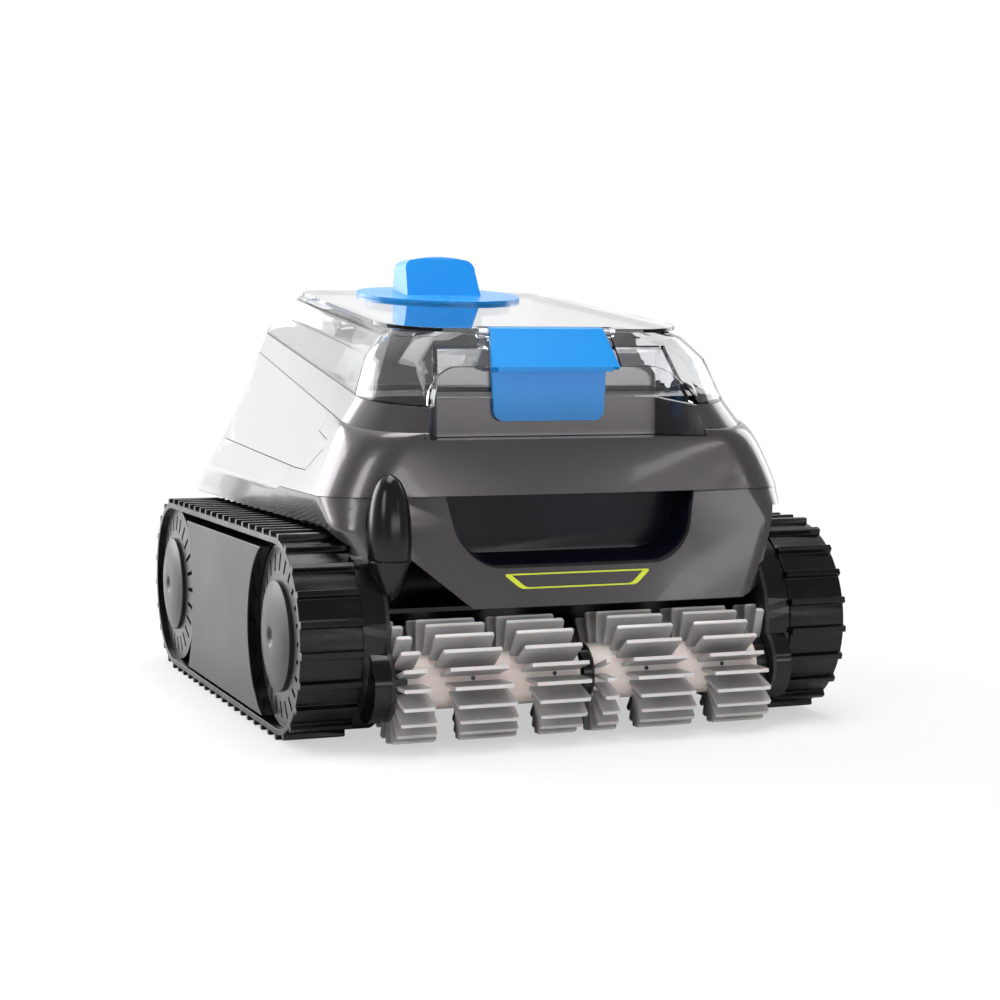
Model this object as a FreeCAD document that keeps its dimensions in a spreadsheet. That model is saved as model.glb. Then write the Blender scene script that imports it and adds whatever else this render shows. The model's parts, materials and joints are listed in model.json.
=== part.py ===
import FreeCAD, Part
import math
import os
import re
import Sketcher
from FreeCAD import Placement, Rotation, Vector

# Tracked cordless pool cleaning robot. Millimetres, +Z up, brushes at the front (-Y), +X to the right when
# the front is looked at. The origin lies on the pool floor at the middle of the machine's footprint.

DIMENSIONS = {
    # tracks
    "axle_height": 65.5,
    "front_axle": -147.5,
    "wheelbase": 315,
    "track_edge": 185,
    "belt_width": 39.5,
    "belt_radius": 62,
    "belt_thick": 4,
    "cleat_height": 3.5,
    "cleat_width": 5.5,
    "cleat_count": 55,
    "track_gap": 0.3,
    # wheels
    "wheel_face": 180,
    "wheel_back": 148.5,
    "rim_thick": 4,
    "disc_thick": 4,
    "disc_cone": 4,
    "hub_radius": 13,
    "slot_count": 24,
    "slot_inner": 41,
    "slot_outer": 52,
    "slot_width": 3,
    "cap_radius": 35,
    "cap_crown": 3.5,
    "cap_edge": 2.5,
    "dimple_radius": 7,
    "axle_radius": 5,
    "axle_end": 178,
    "running_gap": 0.05,
    # side covers between the wheels
    "cover_face": 188,
    "cover_half": 54,
    "cover_front_cut": 58.8,
    "cover_rear_cut": 88,
    # gears
    "gear_module": 2,
    "wheel_teeth": 36,
    "brush_teeth": 18,
    "pinion_teeth": 12,
    "gear_start": 132,
    "gear_face": 7,
    # track frames
    "frame_outer": 145.2,
    "frame_radius": 61,
    "frame_plate": 4,
    "frame_wall": 3,
    "drum_radius": 24,
    "gear_cover": 2.4,
    # brushes
    "brush_forward": 47.5,
    "brush_core": 18,
    "brush_tip": 38,
    "brush_start": 5,
    "brush_end": 127,
    "blade_rows": 20,
    "blade_pitch": 53,
    "blade_gap": 14.5,
    "blade_thick": 2.2,
    "blade_corner": 1.4,
    "brush_axle": 6,
    "brush_hub": 11,
    "disc_radius": 19.4,
    "disc_half": 3,
    # lower hull
    "hull_half": 128,
    "hull_front": -128,
    "hull_rear": 204,
    "hull_floor": 28,
    "hull_top": 150,
    "hull_wall": 3,
    "shelf_front": -184,
    "shelf_low": 80.8,
    "mouth_half": 72,
    "mouth_front": -116,
    "mouth_rear": -80,
    # drive unit
    "hub_gap": 0.5,
    "cap_sink": 2,
    "disc_step": 1,
    "dimple_depth": 2,
    "motor_shaft": 3,
    "shaft_gap": 0.3,
    "block_half": 95,
    "block_wall": 3,
    "block_front": -48,
    "block_rear": 165,
    "block_top": 104,
    "motor_start": 36,
    "motor_radius": 18,
    "cradle_length": 30,
    "pump_radius": 24,
    "pump_shaft": 4,
    "battery_half": 80,
    "battery_rear": 30,
    "battery_top": 92,
    "board_half": 70,
    "board_thick": 1.6,
    "board_top": 96,
    "shelf_inset": 4,
    "inlet_half": 48,
    "inlet_front": -92,
    "inlet_rear": -56,
    "duct_wall": 2.5,
    "duct_top": 110,
    "column_radius": 38,
    "column_top": 236,
    "window_half": 14,
    "window_rise": 40,
    "spider_z": 205,
    "propeller_height": 18,
    "propeller_hub": 12,
    "propeller_gap": 2,
    "propeller_chord": 24,
    "propeller_thick": 2,
    "propeller_blades": 4,
    # outer shells
    "skin": 3,
    "seam_gap": 0.4,
    "seam_height": 153.5,
    "ridge_height": 178,
    "skirt_height": 134,
    "apron_height": 84,
    "rim_height": 192,
    "rim_slope": 0.15,
    "recess_floor": 188,
    "recess_half": 77,
    "recess_wall": -145,
    # details of the shells
    "step_top": -107,
    "step_high": 207,
    "step_foot": -101.5,
    "step_low": 191.5,
    "nose_top": -128.5,
    "nose_high": 187.2,
    "nose_tip": -133.4,
    "nose_middle": 184,
    "nose_foot": -129,
    "nose_low": 180.2,
    "sweep_foot": -107,
    "tail_front": -79,
    "tail_low": 167.1,
    "tail_rise": 14,
    "heel_front": -68,
    "heel_back": -57.5,
    "skirt_start": -110,
    "arch_inner": 127.6,
    "arch_low": 62.5,
    "arch_outer": 145.3,
    "arch_high": 69.5,
    "apron_left": 73,
    "slant_left": 114,
    "slant_height": 118,
    "apron_right": 114,
    "right_bend": 128,
    "right_bend_height": 91,
    "right_high": 144,
    "right_high_height": 142,
    "cheek_hollow": 2,
    "pod_x": -125,
    "pod_y": -197,
    "pod_radius": 13,
    "grip_top": 85,
    "grip_side": 81,
    "grip_side_height": 137,
    "grip_bend": 73,
    "grip_bend_height": 122.5,
    "grip_low": 55,
    "grip_floor": 114.4,
    "grip_flare": 3,
    "grip_lip": 8.4,
    "grip_mouth": -203,
    "grip_throat": -184,
    "grip_back": -160,
    "deck_height": 216.5,
    "well_half": 106,
    "well_front": -104,
    "well_rear": 12,
    "knuckle_spread": 45,
    "knuckle_length": 16,
    "visor_top": 244,
    "visor_half": 70,
    "visor_bend": 85.5,
    "visor_bend_height": 224.5,
    "visor_foot": 93.5,
    "notch_top": 40,
    "notch_low": 46,
    "panel_notch": 42.4,
    "latch_y": -140,
    "latch_z": 255,
    "barrel_radius": 4,
    "seat_middle": 44,
    "seat_half": 3.5,
    # lid
    "foot_height": 208,
    "dome_height": 236,
    "dome_slope": 0.12,
    "shoulder_height": 250,
    "shoulder_slope": 0.12,
    "crown_height": 255.6,
    "panel_height": 255.364,
    "crown_slope": 0.118,
    "lid_gap": 0.4,
    "glass": 2.5,
    "visor_edge": 233,
    "hinge_y": 183,
    "hinge_z": 264,
    "knuckle_radius": 5,
    "pin_radius": 2,
    "outlet_y": 76,
    "outlet_radius": 61.4,
    "duct_radius": 34,
    "flange_thick": 2.4,
    "hood_base": 29.5,
    "hood_top": 27.3,
    "hood_low": 281,
    "hood_shoulder": 303,
    "hood_high": 314.3,
    "hood_front": 59,
    "hood_lean": 15,
    "hood_rear": 98,
    # latch, outlet and filter
    "latch_top_y": -144,
    "latch_top_z": 258,
    "latch_low_y": -161,
    "latch_thick": 3,
    "flap_gap": 0.4,
    "flap_top": 40,
    "flap_low": 38.7,
    "flap_floor": 198,
    "flap_corner": 7,
    "throat_radius": 54.5,
    "throat_depth": 11,
    "duct_depth": 42,
    "hood_round": 7.8,
    "hood_bend": 2.4,
    "hood_crown": 2.1,
    "basket_half": 100,
    "basket_front": -96,
    "basket_rear": 4,
    "basket_floor": 110.4,
    "flange_half": 114,
    "flange_high": 3,
    "canister_top": 258,
    "cap_low_half": 104,
    "cap_top_half": 85,
    "window_sill": 10,
    "window_bar": 8,
    "window_count": 4,
    "mesh_thick": 0.8,
    "flap_hinge": 1.5,
    "flap_thick": 1.5,
    "flap_lap": 1,
    # pod, button and brush pattern
    "pod_low": 90,
    "pod_waist": 130,
    "pod_high": 168.6,
    "pod_nose": 10,
    "pod_tail": 13.5,
    "pod_tip": 2.5,
    "button_radius": 9,
    "button_z": 146,
    "button_sink": 3,
    "button_length": 15,
    "left_gap": 49,
    "right_gap": 19,
}

# Plan outlines of the moulded shells, each symmetric about the middle: y of the front edge in the middle,
# where the front corner starts, where it ends on the side, where the rear corner starts and where it ends.
OUTLINE_PLACES = ("front", "corner_x", "corner_y", "side_x", "side_y", "back_x", "back_y", "rear_x", "rear_y")
OUTLINES = {
    "apron": (-205, 111, -203, 131, -184, 126, 180, 100, 205),
    "skirt": (-192, 134, -191, 156, -172, 155, 208, 124, 231),
    "sill": (-188, 122, -187, 160, -152, 152, 196, 118, 222),
    "seam": (-196, 122, -189, 160, -152, 152, 196, 118, 222),
    "ridge": (-191, 112, -188, 150, -146, 139, 186, 108, 204),
    "rim": (-184, 95, -183, 138, -135, 118, 152, 92, 180),
    "foot": (-178.5, 95, -178, 126, -125, 113, 148, 88, 174),
    "dome": (-159.5, 92, -159, 118, -122, 107, 139, 84, 162),
    "shoulder": (-150, 80, -149.5, 106, -114, 99, 130, 78, 149),
    "crown": (-146, 60, -145.5, 95, -110, 92, 120, 72, 138),
    "panel": (-148.5, 72, -147.5, 105.5, -95, 98, 88, 82, 124),
}
for outline_name, places in OUTLINES.items():
    for place_name, place in zip(OUTLINE_PLACES, places):
        DIMENSIONS[f"{outline_name}_{place_name}"] = place

# The plane of each outline: its height in the front corners, and its slope towards the rear where it has one.
OUTLINE_PLANES = {
    "apron": ("apron_height", None),
    "skirt": ("skirt_height", None),
    "sill": ("seam_height", None),
    "seam": ("seam_height", None),
    "ridge": ("ridge_height", None),
    "rim": ("rim_height", "rim_slope"),
    "foot": ("foot_height", "rim_slope"),
    "dome": ("dome_height", "dome_slope"),
    "shoulder": ("shoulder_height", "shoulder_slope"),
    "crown": ("crown_height", "crown_slope"),
    "panel": ("panel_height", "crown_slope"),
}
CORNER_FULLNESS = 0.414
FAR = 300.0

document = FreeCAD.newDocument("pool_cleaner")
sheet = document.addObject("Spreadsheet::Sheet", "Dims")
for line_number, (alias, amount) in enumerate(DIMENSIONS.items(), 1):
    sheet.set(f"A{line_number}", alias)
    sheet.set(f"B{line_number}", str(amount))
    sheet.setAlias(f"B{line_number}", alias)
document.recompute()

SUBPARTS = []


def size(alias):
    """One driving dimension, read back from the sheet."""
    return float(sheet.get(alias))


def formula(text):
    """An expression on the sheet, from words that name its cells."""
    return re.sub(r"[a-z_]+", lambda word: "Dims." + word.group() if word.group() in DIMENSIONS else word.group(),
                  str(text))


def bind(feature, **properties):
    """Tie properties of a feature to formulas on the sheet."""
    for name, text in properties.items():
        feature.setExpression(name, formula(text))
    return feature


def place(feature, x=0, y=0, z=0):
    for axis, text in zip("xyz", (x, y, z)):
        feature.setExpression(f".Placement.Base.{axis}", formula(text))
    return feature


def keep(feature, label):
    """Give a finished sub-part its node name."""
    feature.Label = label
    SUBPARTS.append(feature)
    return feature


def moulded(shape, label):
    """A sub-part whose free form no feature makes."""
    feature = document.addObject("Part::Feature", "Moulded")
    feature.Shape = shape
    return keep(feature, label)


# ---------------------------------------------------------------- Part primitives on the sheet

def block(x, y, z):
    """A box from three pairs of formulas."""
    box = document.addObject("Part::Box", "Block")
    bind(box, Length=f"({x[1]}) - ({x[0]})", Width=f"({y[1]}) - ({y[0]})", Height=f"({z[1]}) - ({z[0]})")
    return place(box, x[0], y[0], z[0])


def rod(axis, start, end, across, radius):
    """A cylinder along X, Y or Z from start to end; across gives the other two coordinates."""
    turns = {"x": Rotation(Vector(0, 1, 0), 90), "y": Rotation(Vector(1, 0, 0), -90), "z": Rotation()}
    cylinder = document.addObject("Part::Cylinder", "Rod")
    cylinder.Placement = Placement(Vector(), turns[axis])
    bind(cylinder, Radius=radius, Height=f"({end}) - ({start})")
    spots = {"x": (start, *across), "y": (across[0], start, across[1]), "z": (*across, start)}
    return place(cylinder, *spots[axis])


def join(*features):
    if len(features) == 1:
        return features[0]
    fuse = document.addObject("Part::MultiFuse", "Joined")
    fuse.Shapes = list(features)
    return fuse


def subtract(base, *tools):
    cut = document.addObject("Part::Cut", "Cut")
    cut.Base = base
    cut.Tool = join(*tools)
    return cut


# ---------------------------------------------------------------- PartDesign bodies on the sheet

def new_body(label, x=0, y=0, z=0):
    body = document.addObject("PartDesign::Body", "Body")
    return keep(place(body, x, y, z), label)


def sketch_on(body, plane, lift=0):
    """A sketch on one of the body's own origin planes, lifted along its normal."""
    sketch = body.newObject("Sketcher::SketchObject", "Sketch")
    support = next(item for item in body.Origin.OriginFeatures if item.Role == plane)
    sketch.AttachmentSupport = [(support, "")]
    sketch.MapMode = "FlatFace"
    sketch.setExpression(".AttachmentOffset.Base.z", formula(lift))
    return sketch


def polygon(sketch, corners):
    """A closed outline whose corners sit at pairs of formulas."""
    count = len(corners)
    first = sketch.GeometryCount
    for number in range(count):
        here, there = (Vector(math.cos(turn), math.sin(turn), 0) * 20 for turn in
                       (2 * math.pi * number / count, 2 * math.pi * (number + 1) / count))
        sketch.addGeometry(Part.LineSegment(here, there), False)
    for number in range(count):
        following = first + (number + 1) % count
        sketch.addConstraint(Sketcher.Constraint("Coincident", first + number, 2, following, 1))
    for number, corner in enumerate(corners):
        for kind, text in zip(("DistanceX", "DistanceY"), corner):
            index = sketch.addConstraint(Sketcher.Constraint(kind, -1, 1, first + number, 1, 1.0))
            sketch.setExpression(f"Constraints[{index}]", formula(text))
    return sketch


def circle(sketch, x, y, radius):
    number = sketch.addGeometry(Part.Circle(Vector(1, 1, 0), Vector(0, 0, 1), 5), False)
    for kind, text in zip(("DistanceX", "DistanceY"), (x, y)):
        index = sketch.addConstraint(Sketcher.Constraint(kind, -1, 1, number, 3, 1.0))
        sketch.setExpression(f"Constraints[{index}]", formula(text))
    index = sketch.addConstraint(Sketcher.Constraint("Radius", number, 5.0))
    sketch.setExpression(f"Constraints[{index}]", formula(radius))
    return sketch


def pad(body, sketch, length, backwards=False, both_ways=False):
    feature = body.newObject("PartDesign::Pad", "Pad")
    feature.Profile = sketch
    feature.Reversed = backwards
    if both_ways:
        feature.SideType = "Symmetric"
    bind(feature, Length=length)
    return feature


def pocket(body, sketch, length, backwards=False):
    """Cut a sketch into the body, and make sure that it did cut."""
    document.recompute()
    before = body.Shape.Volume
    feature = body.newObject("PartDesign::Pocket", "Pocket")
    feature.Profile = sketch
    feature.Reversed = backwards
    bind(feature, Length=length)
    document.recompute()
    if body.Shape.Volume >= before - 1e-6:
        raise ValueError(f"a pocket in {body.Label} cuts nothing")
    return feature


def turned(body, profile, plane="XY_Plane", axis="H_Axis"):
    """A solid of revolution about the sketch's own axis."""
    sketch = polygon(sketch_on(body, plane), profile)
    feature = body.newObject("PartDesign::Revolution", "Turned")
    feature.Profile = sketch
    feature.ReferenceAxis = (sketch, [axis])
    feature.Angle = 360
    return feature


def around(body, feature, sketch, count):
    """Repeat a feature around the normal of its sketch."""
    pattern = body.newObject("PartDesign::PolarPattern", "Around")
    pattern.Originals = [feature]
    pattern.Axis = (sketch, ["N_Axis"])
    pattern.Angle = 360
    bind(pattern, Occurrences=count)
    body.Tip = pattern
    return pattern


SIDES = {"left": -1, "right": 1}
AXLES = {"front": "front_axle", "rear": "front_axle + wheelbase"}
CENTRES = "(gear_module * (wheel_teeth + brush_teeth) / 2)"
BRUSH_DROP = f"sqrt({CENTRES}^2 - brush_forward^2)"
BRUSH_Y = "(front_axle - brush_forward)"
BRUSH_Z = f"(axle_height - {BRUSH_DROP})"
PINION_Y = "(front_axle + wheelbase - gear_module * (wheel_teeth + pinion_teeth) / 2)"
GEAR_END = "(gear_start + gear_face)"
RIM = "(belt_radius - belt_thick - track_gap)"
CAP_FOOT = "(wheel_face + disc_cone - cap_sink)"
COVER_PLATE = "(hull_half + gear_cover)"


def span(sign, low, high):
    """A stretch along X from low to high on the given side, as a pair in rising order."""
    return (low, high) if sign > 0 else (f"-({high})", f"-({low})")


# ---------------------------------------------------------------- wheels, gears and tracks

def wheel(label, sign, axle):
    """Hollow wheel: a rim, a slotted disc that rises to the middle, and a hub tube that carries the gear."""
    body = new_body(label, 0, axle, "axle_height")
    profile = [("gear_start", "axle_radius + running_gap"), ("gear_start", "hub_radius"),
               ("wheel_face - disc_thick", "hub_radius"), ("wheel_face - disc_thick - disc_cone", f"{RIM} - rim_thick"),
               ("wheel_back", f"{RIM} - rim_thick"), ("wheel_back", RIM), ("wheel_face", RIM),
               ("wheel_face", f"{RIM} - rim_thick / 2"), (CAP_FOOT, "cap_radius + disc_step"),
               (CAP_FOOT, "axle_radius + running_gap")]
    turned(body, [(f"{sign} * ({x})", radius) for x, radius in profile])
    sketch = sketch_on(body, "YZ_Plane", f"{sign} * (wheel_face + disc_cone)")
    corners = [("-1", "slot_inner"), ("1", "slot_inner"), ("1", "slot_outer"), ("-1", "slot_outer")]
    polygon(sketch, [(f"{side} * slot_width / 2", radius) for side, radius in corners])
    slot = pocket(body, sketch, "2 * disc_cone + 2 * disc_thick", backwards=sign < 0)
    around(body, slot, sketch, "slot_count")


def hub_cap(label, sign, axle):
    """Domed cap with a dimple in its middle."""
    body = new_body(label, 0, axle, "axle_height")
    rise = f"{CAP_FOOT} + cap_edge"
    profile = [(CAP_FOOT, "0"), (CAP_FOOT, "cap_radius"), (rise, "cap_radius"),
               (f"{rise} + cap_crown * 0.55", "cap_radius * 0.8"), (f"{rise} + cap_crown * 0.9", "cap_radius * 0.5"),
               (f"{rise} + cap_crown", "dimple_radius"),
               (f"{rise} + cap_crown - dimple_depth", "dimple_radius / 2"),
               (f"{rise} + cap_crown - dimple_depth", "0")]
    turned(body, [(f"{sign} * ({x})", radius) for x, radius in profile])


def gear(label, sign, y, z, teeth, bore, turn):
    """Spur gear across the side of the machine. A turn of 0 puts one tooth at the top."""
    body = new_body(label, 0, y, z)
    pitch = f"gear_module * {teeth} / 2"
    root = f"({pitch} - gear_module * 1.2)"
    start = f"{sign} * gear_start"
    blank = circle(sketch_on(body, "YZ_Plane", start), "0", "0", root)
    if bore:
        circle(blank, "0", "0", bore)
    pad(body, blank, "gear_face", backwards=sign < 0)
    tooth = sketch_on(body, "YZ_Plane", start)
    flank = [("0.86", f"({root} - gear_module / 4)"), ("0.65", f"({pitch})"), ("0.3", f"({pitch} + gear_module * 0.9)")]
    corners = [(f"gear_module * {half}", radius) for half, radius in flank]
    corners += [(f"-{half}", radius) for half, radius in reversed(corners)]
    polygon(tooth, [(f"{half} * cos({turn}) - {radius} * sin({turn})", f"{half} * sin({turn}) + {radius} * cos({turn})")
                    for half, radius in corners])
    around(body, pad(body, tooth, "gear_face", backwards=sign < 0), tooth, teeth)
    return body


def drive_pinion(label, sign):
    """Pinion in one piece with the motor shaft that carries it."""
    body = gear(label, sign, PINION_Y, "axle_height", "pinion_teeth", "", "180 deg / pinion_teeth - 90 deg")
    start = "(block_half - block_wall + running_gap)"
    shaft = circle(sketch_on(body, "YZ_Plane", f"{sign} * {start}"), "0", "0", "motor_shaft")
    pad(body, shaft, f"{GEAR_END} - {start}", backwards=sign < 0)


def race(radius):
    """Plan of a track loop seen from the side: two half circles about the axles, joined by straight runs."""
    front = Vector(0, size("front_axle"), size("axle_height"))
    rear = front + Vector(0, size("wheelbase"), 0)
    up = Vector(0, 0, radius)
    edges = [Part.LineSegment(front + up, rear + up).toShape(),
             Part.Arc(rear + up, rear + Vector(0, radius, 0), rear - up).toShape(),
             Part.LineSegment(rear - up, front - up).toShape(),
             Part.Arc(front - up, front - Vector(0, radius, 0), front + up).toShape()]
    return Part.Face(Part.Wire(edges))


def race_solid(radius, start, end):
    face = race(radius)
    face.translate(Vector(start, 0, 0))
    return face.extrude(Vector(end - start, 0, 0))


def around_track(distance, radius):
    """The place and the turn of a cleat at a distance along the loop, from above the front axle backwards."""
    straight = size("wheelbase")
    half_circle = math.pi * radius
    front = size("front_axle")
    height = size("axle_height")
    distance = distance % (2 * (straight + half_circle))
    if distance < straight:
        return Vector(0, front + distance, height + radius), 0.0
    if distance < straight + half_circle:
        turn = (distance - straight) / radius
        return Vector(0, front + straight + radius * math.sin(turn), height + radius * math.cos(turn)), turn
    if distance < 2 * straight + half_circle:
        return Vector(0, front + 2 * straight + half_circle - distance, height - radius), math.pi
    turn = math.pi + (distance - 2 * straight - half_circle) / radius
    return Vector(0, front + radius * math.sin(turn), height + radius * math.cos(turn)), turn


def cleat(sign):
    """One bar across the belt, standing on the XY plane, with its outer end sloped back."""
    width = size("belt_width")
    inner = size("track_edge") - width
    rise = size("cleat_height")
    half = size("cleat_width") / 2
    root = size("belt_thick") / 4
    section = [Vector(0, -half, -root), Vector(0, half, -root), Vector(0, half * 0.7, rise), Vector(0, -half * 0.7, rise)]
    bar = Part.Face(Part.makePolygon(section + section[:1])).extrude(Vector(width, 0, 0))
    bar.translate(Vector(inner if sign > 0 else -inner - width, 0, 0))
    return bar


def belt(label, sign):
    """Endless rubber track: a flat band with cleats at an even pitch."""
    outer = size("belt_radius")
    edge = size("track_edge")
    inner_edge = edge - size("belt_width")
    low, high = sorted((sign * inner_edge, sign * edge))
    band = race_solid(outer, low, high).cut(race_solid(outer - size("belt_thick"), low, high))
    count = int(size("cleat_count"))
    length = 2 * (size("wheelbase") + math.pi * outer)
    cleats = []
    for number in range(count):
        place_at, turn = around_track((number + 0.5) * length / count, outer)
        bar = cleat(sign)
        bar.Placement = Placement(place_at, Rotation(Vector(1, 0, 0), -math.degrees(turn))).multiply(bar.Placement)
        cleats.append(bar)
    moulded(band.multiFuse(cleats).removeSplitter(), label)


def race_block(sign, start, end, radius):
    """The loop's outline as a solid on the given side, as a group of primitives."""
    x = span(sign, start, end)
    middle = block(x, ("front_axle", "front_axle + wheelbase"), (f"axle_height - ({radius})", f"axle_height + ({radius})"))
    ends = [rod("x", *x, (axle, "axle_height"), radius) for axle in AXLES.values()]
    return join(middle, *ends)


def track_frame(label, sign):
    """Gear case of one side, open towards the hull: a round-ended plate with a rim, and a lobe for the brush gear."""
    inner = "(frame_outer - frame_plate)"
    gear_room = f"({GEAR_END} + seam_gap)"
    brush = (BRUSH_Y, BRUSH_Z)
    case = join(race_block(sign, COVER_PLATE, "frame_outer", "frame_radius"),
                rod("x", *span(sign, COVER_PLATE, inner), brush, "drum_radius"))
    hollow = join(race_block(sign, COVER_PLATE, inner, "frame_radius - frame_wall"),
                  rod("x", *span(sign, COVER_PLATE, gear_room), brush, "drum_radius - frame_wall"))
    hubs = [rod("x", *span(sign, inner, "frame_outer"), (axle, "axle_height"), "hub_radius + hub_gap")
            for axle in AXLES.values()]
    seat = rod("x", *span(sign, GEAR_END, "frame_outer"), brush, "brush_axle")
    keep(subtract(case, hollow, *hubs, seat), label)


def gear_cover(label, sign):
    """Flat plate that closes the gear case on the hull side."""
    across = span(sign, "hull_half", COVER_PLATE)
    plate = join(race_block(sign, "hull_half", COVER_PLATE, "frame_radius"),
                 rod("x", *across, (BRUSH_Y, BRUSH_Z), "drum_radius"))
    holes = [rod("x", *across, (axle, "axle_height"), "axle_radius") for axle in AXLES.values()]
    holes.append(rod("x", *across, (BRUSH_Y, BRUSH_Z), "brush_hub + hub_gap"))
    holes.append(rod("x", *across, (PINION_Y, "axle_height"), "motor_shaft + hub_gap"))
    keep(subtract(plate, *holes), label)


def side_cover(label, sign):
    """Solid moulding between the wheels, hollowed at both ends to the wheels' curve."""
    across = span(sign, "frame_outer", "cover_face")
    slab = block(across, ("front_axle", "front_axle + wheelbase"),
                 ("axle_height - cover_half", "axle_height + cover_half"))
    cuts = [rod("x", *across, ("front_axle", "axle_height"), "cover_front_cut"),
            rod("x", *across, ("front_axle + wheelbase", "axle_height"), "cover_rear_cut")]
    keep(subtract(slab, *cuts), label)


def wheel_axles(label):
    """Four fixed steel pins, seated in the hull's side walls."""
    pins = [rod("x", *span(sign, "hull_half - hull_wall", "axle_end"), (axle, "axle_height"), "axle_radius")
            for sign in SIDES.values() for axle in AXLES.values()]
    keep(join(*pins), label)


# ---------------------------------------------------------------- brushes

def blade(start, end):
    """One flat paddle with rounded tip corners, standing on the roller's axis and reaching along +Z."""
    corner = min(size("blade_corner"), (end - start) / 2.5)
    low = size("brush_core") - 1
    tip = size("brush_tip")
    thick = size("blade_thick")
    slant = corner * (1 - math.sqrt(0.5))
    points = [Vector(start, 0, low), Vector(end, 0, low), Vector(end, 0, tip - corner),
              Vector(end - slant, 0, tip - slant), Vector(end - corner, 0, tip), Vector(start + corner, 0, tip),
              Vector(start + slant, 0, tip - slant), Vector(start, 0, tip - corner)]
    flat = Part.Face(Part.makePolygon(points + points[:1]))
    flat.translate(Vector(0, -thick / 2, 0))
    return flat.extrude(Vector(0, thick, 0))


def roller_blades(low, high, first_gap):
    """Rows of paddles between two ends; each row starts a little further along than the one before."""
    rows = int(size("blade_rows"))
    pitch = size("blade_pitch")
    half_gap = size("blade_gap") / 2
    shortest = 2 * size("blade_corner")
    solids = []
    for row in range(rows):
        gap = first_gap + pitch * row / rows
        step = math.floor((low - gap) / pitch)
        while gap + step * pitch < high:
            start = max(low, gap + step * pitch + half_gap)
            end = min(high, gap + (step + 1) * pitch - half_gap)
            if end - start > shortest:
                paddle = blade(start, end)
                paddle.rotate(Vector(), Vector(1, 0, 0), 90 + 360 * row / rows)
                solids.append(paddle)
            step += 1
    return solids


def brush_roller(label, sign, first_gap):
    """Hollow core with paddles, and a hub that runs on to the brush gear."""
    low, high = sorted((sign * size("brush_start"), sign * size("brush_end")))
    hub_low, hub_high = sorted((sign * size("brush_end"), sign * (size("gear_start") + size("gear_face"))))
    along = Vector(1, 0, 0)
    core = Part.makeCylinder(size("brush_core"), high - low, Vector(low, 0, 0), along)
    hub = Part.makeCylinder(size("brush_hub"), hub_high - hub_low, Vector(hub_low, 0, 0), along)
    bore = Part.makeCylinder(size("brush_axle") + size("running_gap"), 400, Vector(-200, 0, 0), along)
    shape = core.fuse([hub] + roller_blades(low, high, first_gap)).cut(bore)
    feature = moulded(shape, label)
    place(feature, 0, BRUSH_Y, BRUSH_Z)


def brush_middle(label):
    """Fixed disc between the two rollers."""
    across = ("-disc_half", "disc_half")
    keep(subtract(rod("x", *across, (BRUSH_Y, BRUSH_Z), "disc_radius"),
                  rod("x", *across, (BRUSH_Y, BRUSH_Z), "brush_axle")), label)


# ---------------------------------------------------------------- lower hull and what it holds

def lower_hull(label):
    """Open-topped tub with a suction mouth in its floor, a shelf over the brushes and a rim for the shells."""
    wide = ("-hull_half", "hull_half")
    inner = ("-hull_half + hull_wall", "hull_half - hull_wall")
    tub = block(wide, ("hull_front", "hull_rear"), ("hull_floor", "hull_top"))
    shelf = block(("-hull_half + shelf_inset", "hull_half - shelf_inset"), ("shelf_front", "hull_front"),
                  ("shelf_low", "shelf_low + hull_wall"))
    brow = block(("-hull_half + shelf_inset", "hull_half - shelf_inset"), ("hull_front", "hull_front + hull_wall"),
                 ("hull_floor", "hull_top"))
    hollow = block(inner, ("hull_front + hull_wall", "hull_rear - hull_wall"), ("hull_floor + hull_wall", "hull_top + 1"))
    mouth = block(("-mouth_half", "mouth_half"), ("mouth_front", "mouth_rear"), ("hull_floor - 1", "hull_floor + hull_wall"))
    bores = [rod("x", *span(sign, "hull_half - hull_wall", "hull_half"), (axle, "axle_height"), "axle_radius")
             for sign in SIDES.values() for axle in AXLES.values()]
    bores += [rod("x", *span(sign, "hull_half - hull_wall", "hull_half"), (PINION_Y, "axle_height"),
                  "motor_shaft + hub_gap") for sign in SIDES.values()]
    keep(subtract(join(tub, shelf, brow), hollow, mouth, *bores), label)


def intake_duct(label):
    """Slanted duct from the suction mouth up to the filter's inlet."""
    wall = size("duct_wall")
    half = size("mouth_half")
    top_half = size("inlet_half")
    low = size("hull_floor") + size("hull_wall")
    high = size("duct_top")

    def frame(grow, bottom, top):
        sections = []
        for across, front, rear, level_at in ((half, size("mouth_front"), size("mouth_rear"), bottom),
                                              (top_half, size("inlet_front"), size("inlet_rear"), top)):
            corners = [(-across - grow, front - grow), (across + grow, front - grow),
                       (across + grow, rear + grow), (-across - grow, rear + grow)]
            sections.append(Part.makePolygon([Vector(x, y, level_at) for x, y in corners + corners[:1]]))
        return Part.makeLoft(sections, True, True)

    moulded(frame(wall, low, high).cut(frame(0, low, high)), label)


def motor_block(label):
    """Sealed tub that holds the motors, the battery and the electronics."""
    outer = block(("-block_half", "block_half"), ("block_front", "block_rear"),
                  ("hull_floor + hull_wall", "block_top - block_wall"))
    inner = block(("-block_half + block_wall", "block_half - block_wall"),
                  ("block_front + block_wall", "block_rear - block_wall"),
                  ("hull_floor + hull_wall + block_wall", "block_top"))
    bores = [rod("x", *span(sign, "block_half - block_wall", "block_half"), (PINION_Y, "axle_height"),
                 "motor_shaft + running_gap") for sign in SIDES.values()]
    keep(subtract(outer, inner, *bores), label)


def motor_cover(label):
    lid_plate = block(("-block_half", "block_half"), ("block_front", "block_rear"), ("block_top - block_wall", "block_top"))
    bore = rod("z", "block_top - block_wall", "block_top", ("0", "outlet_y"), "pump_shaft + running_gap")
    keep(subtract(lid_plate, bore), label)


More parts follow.
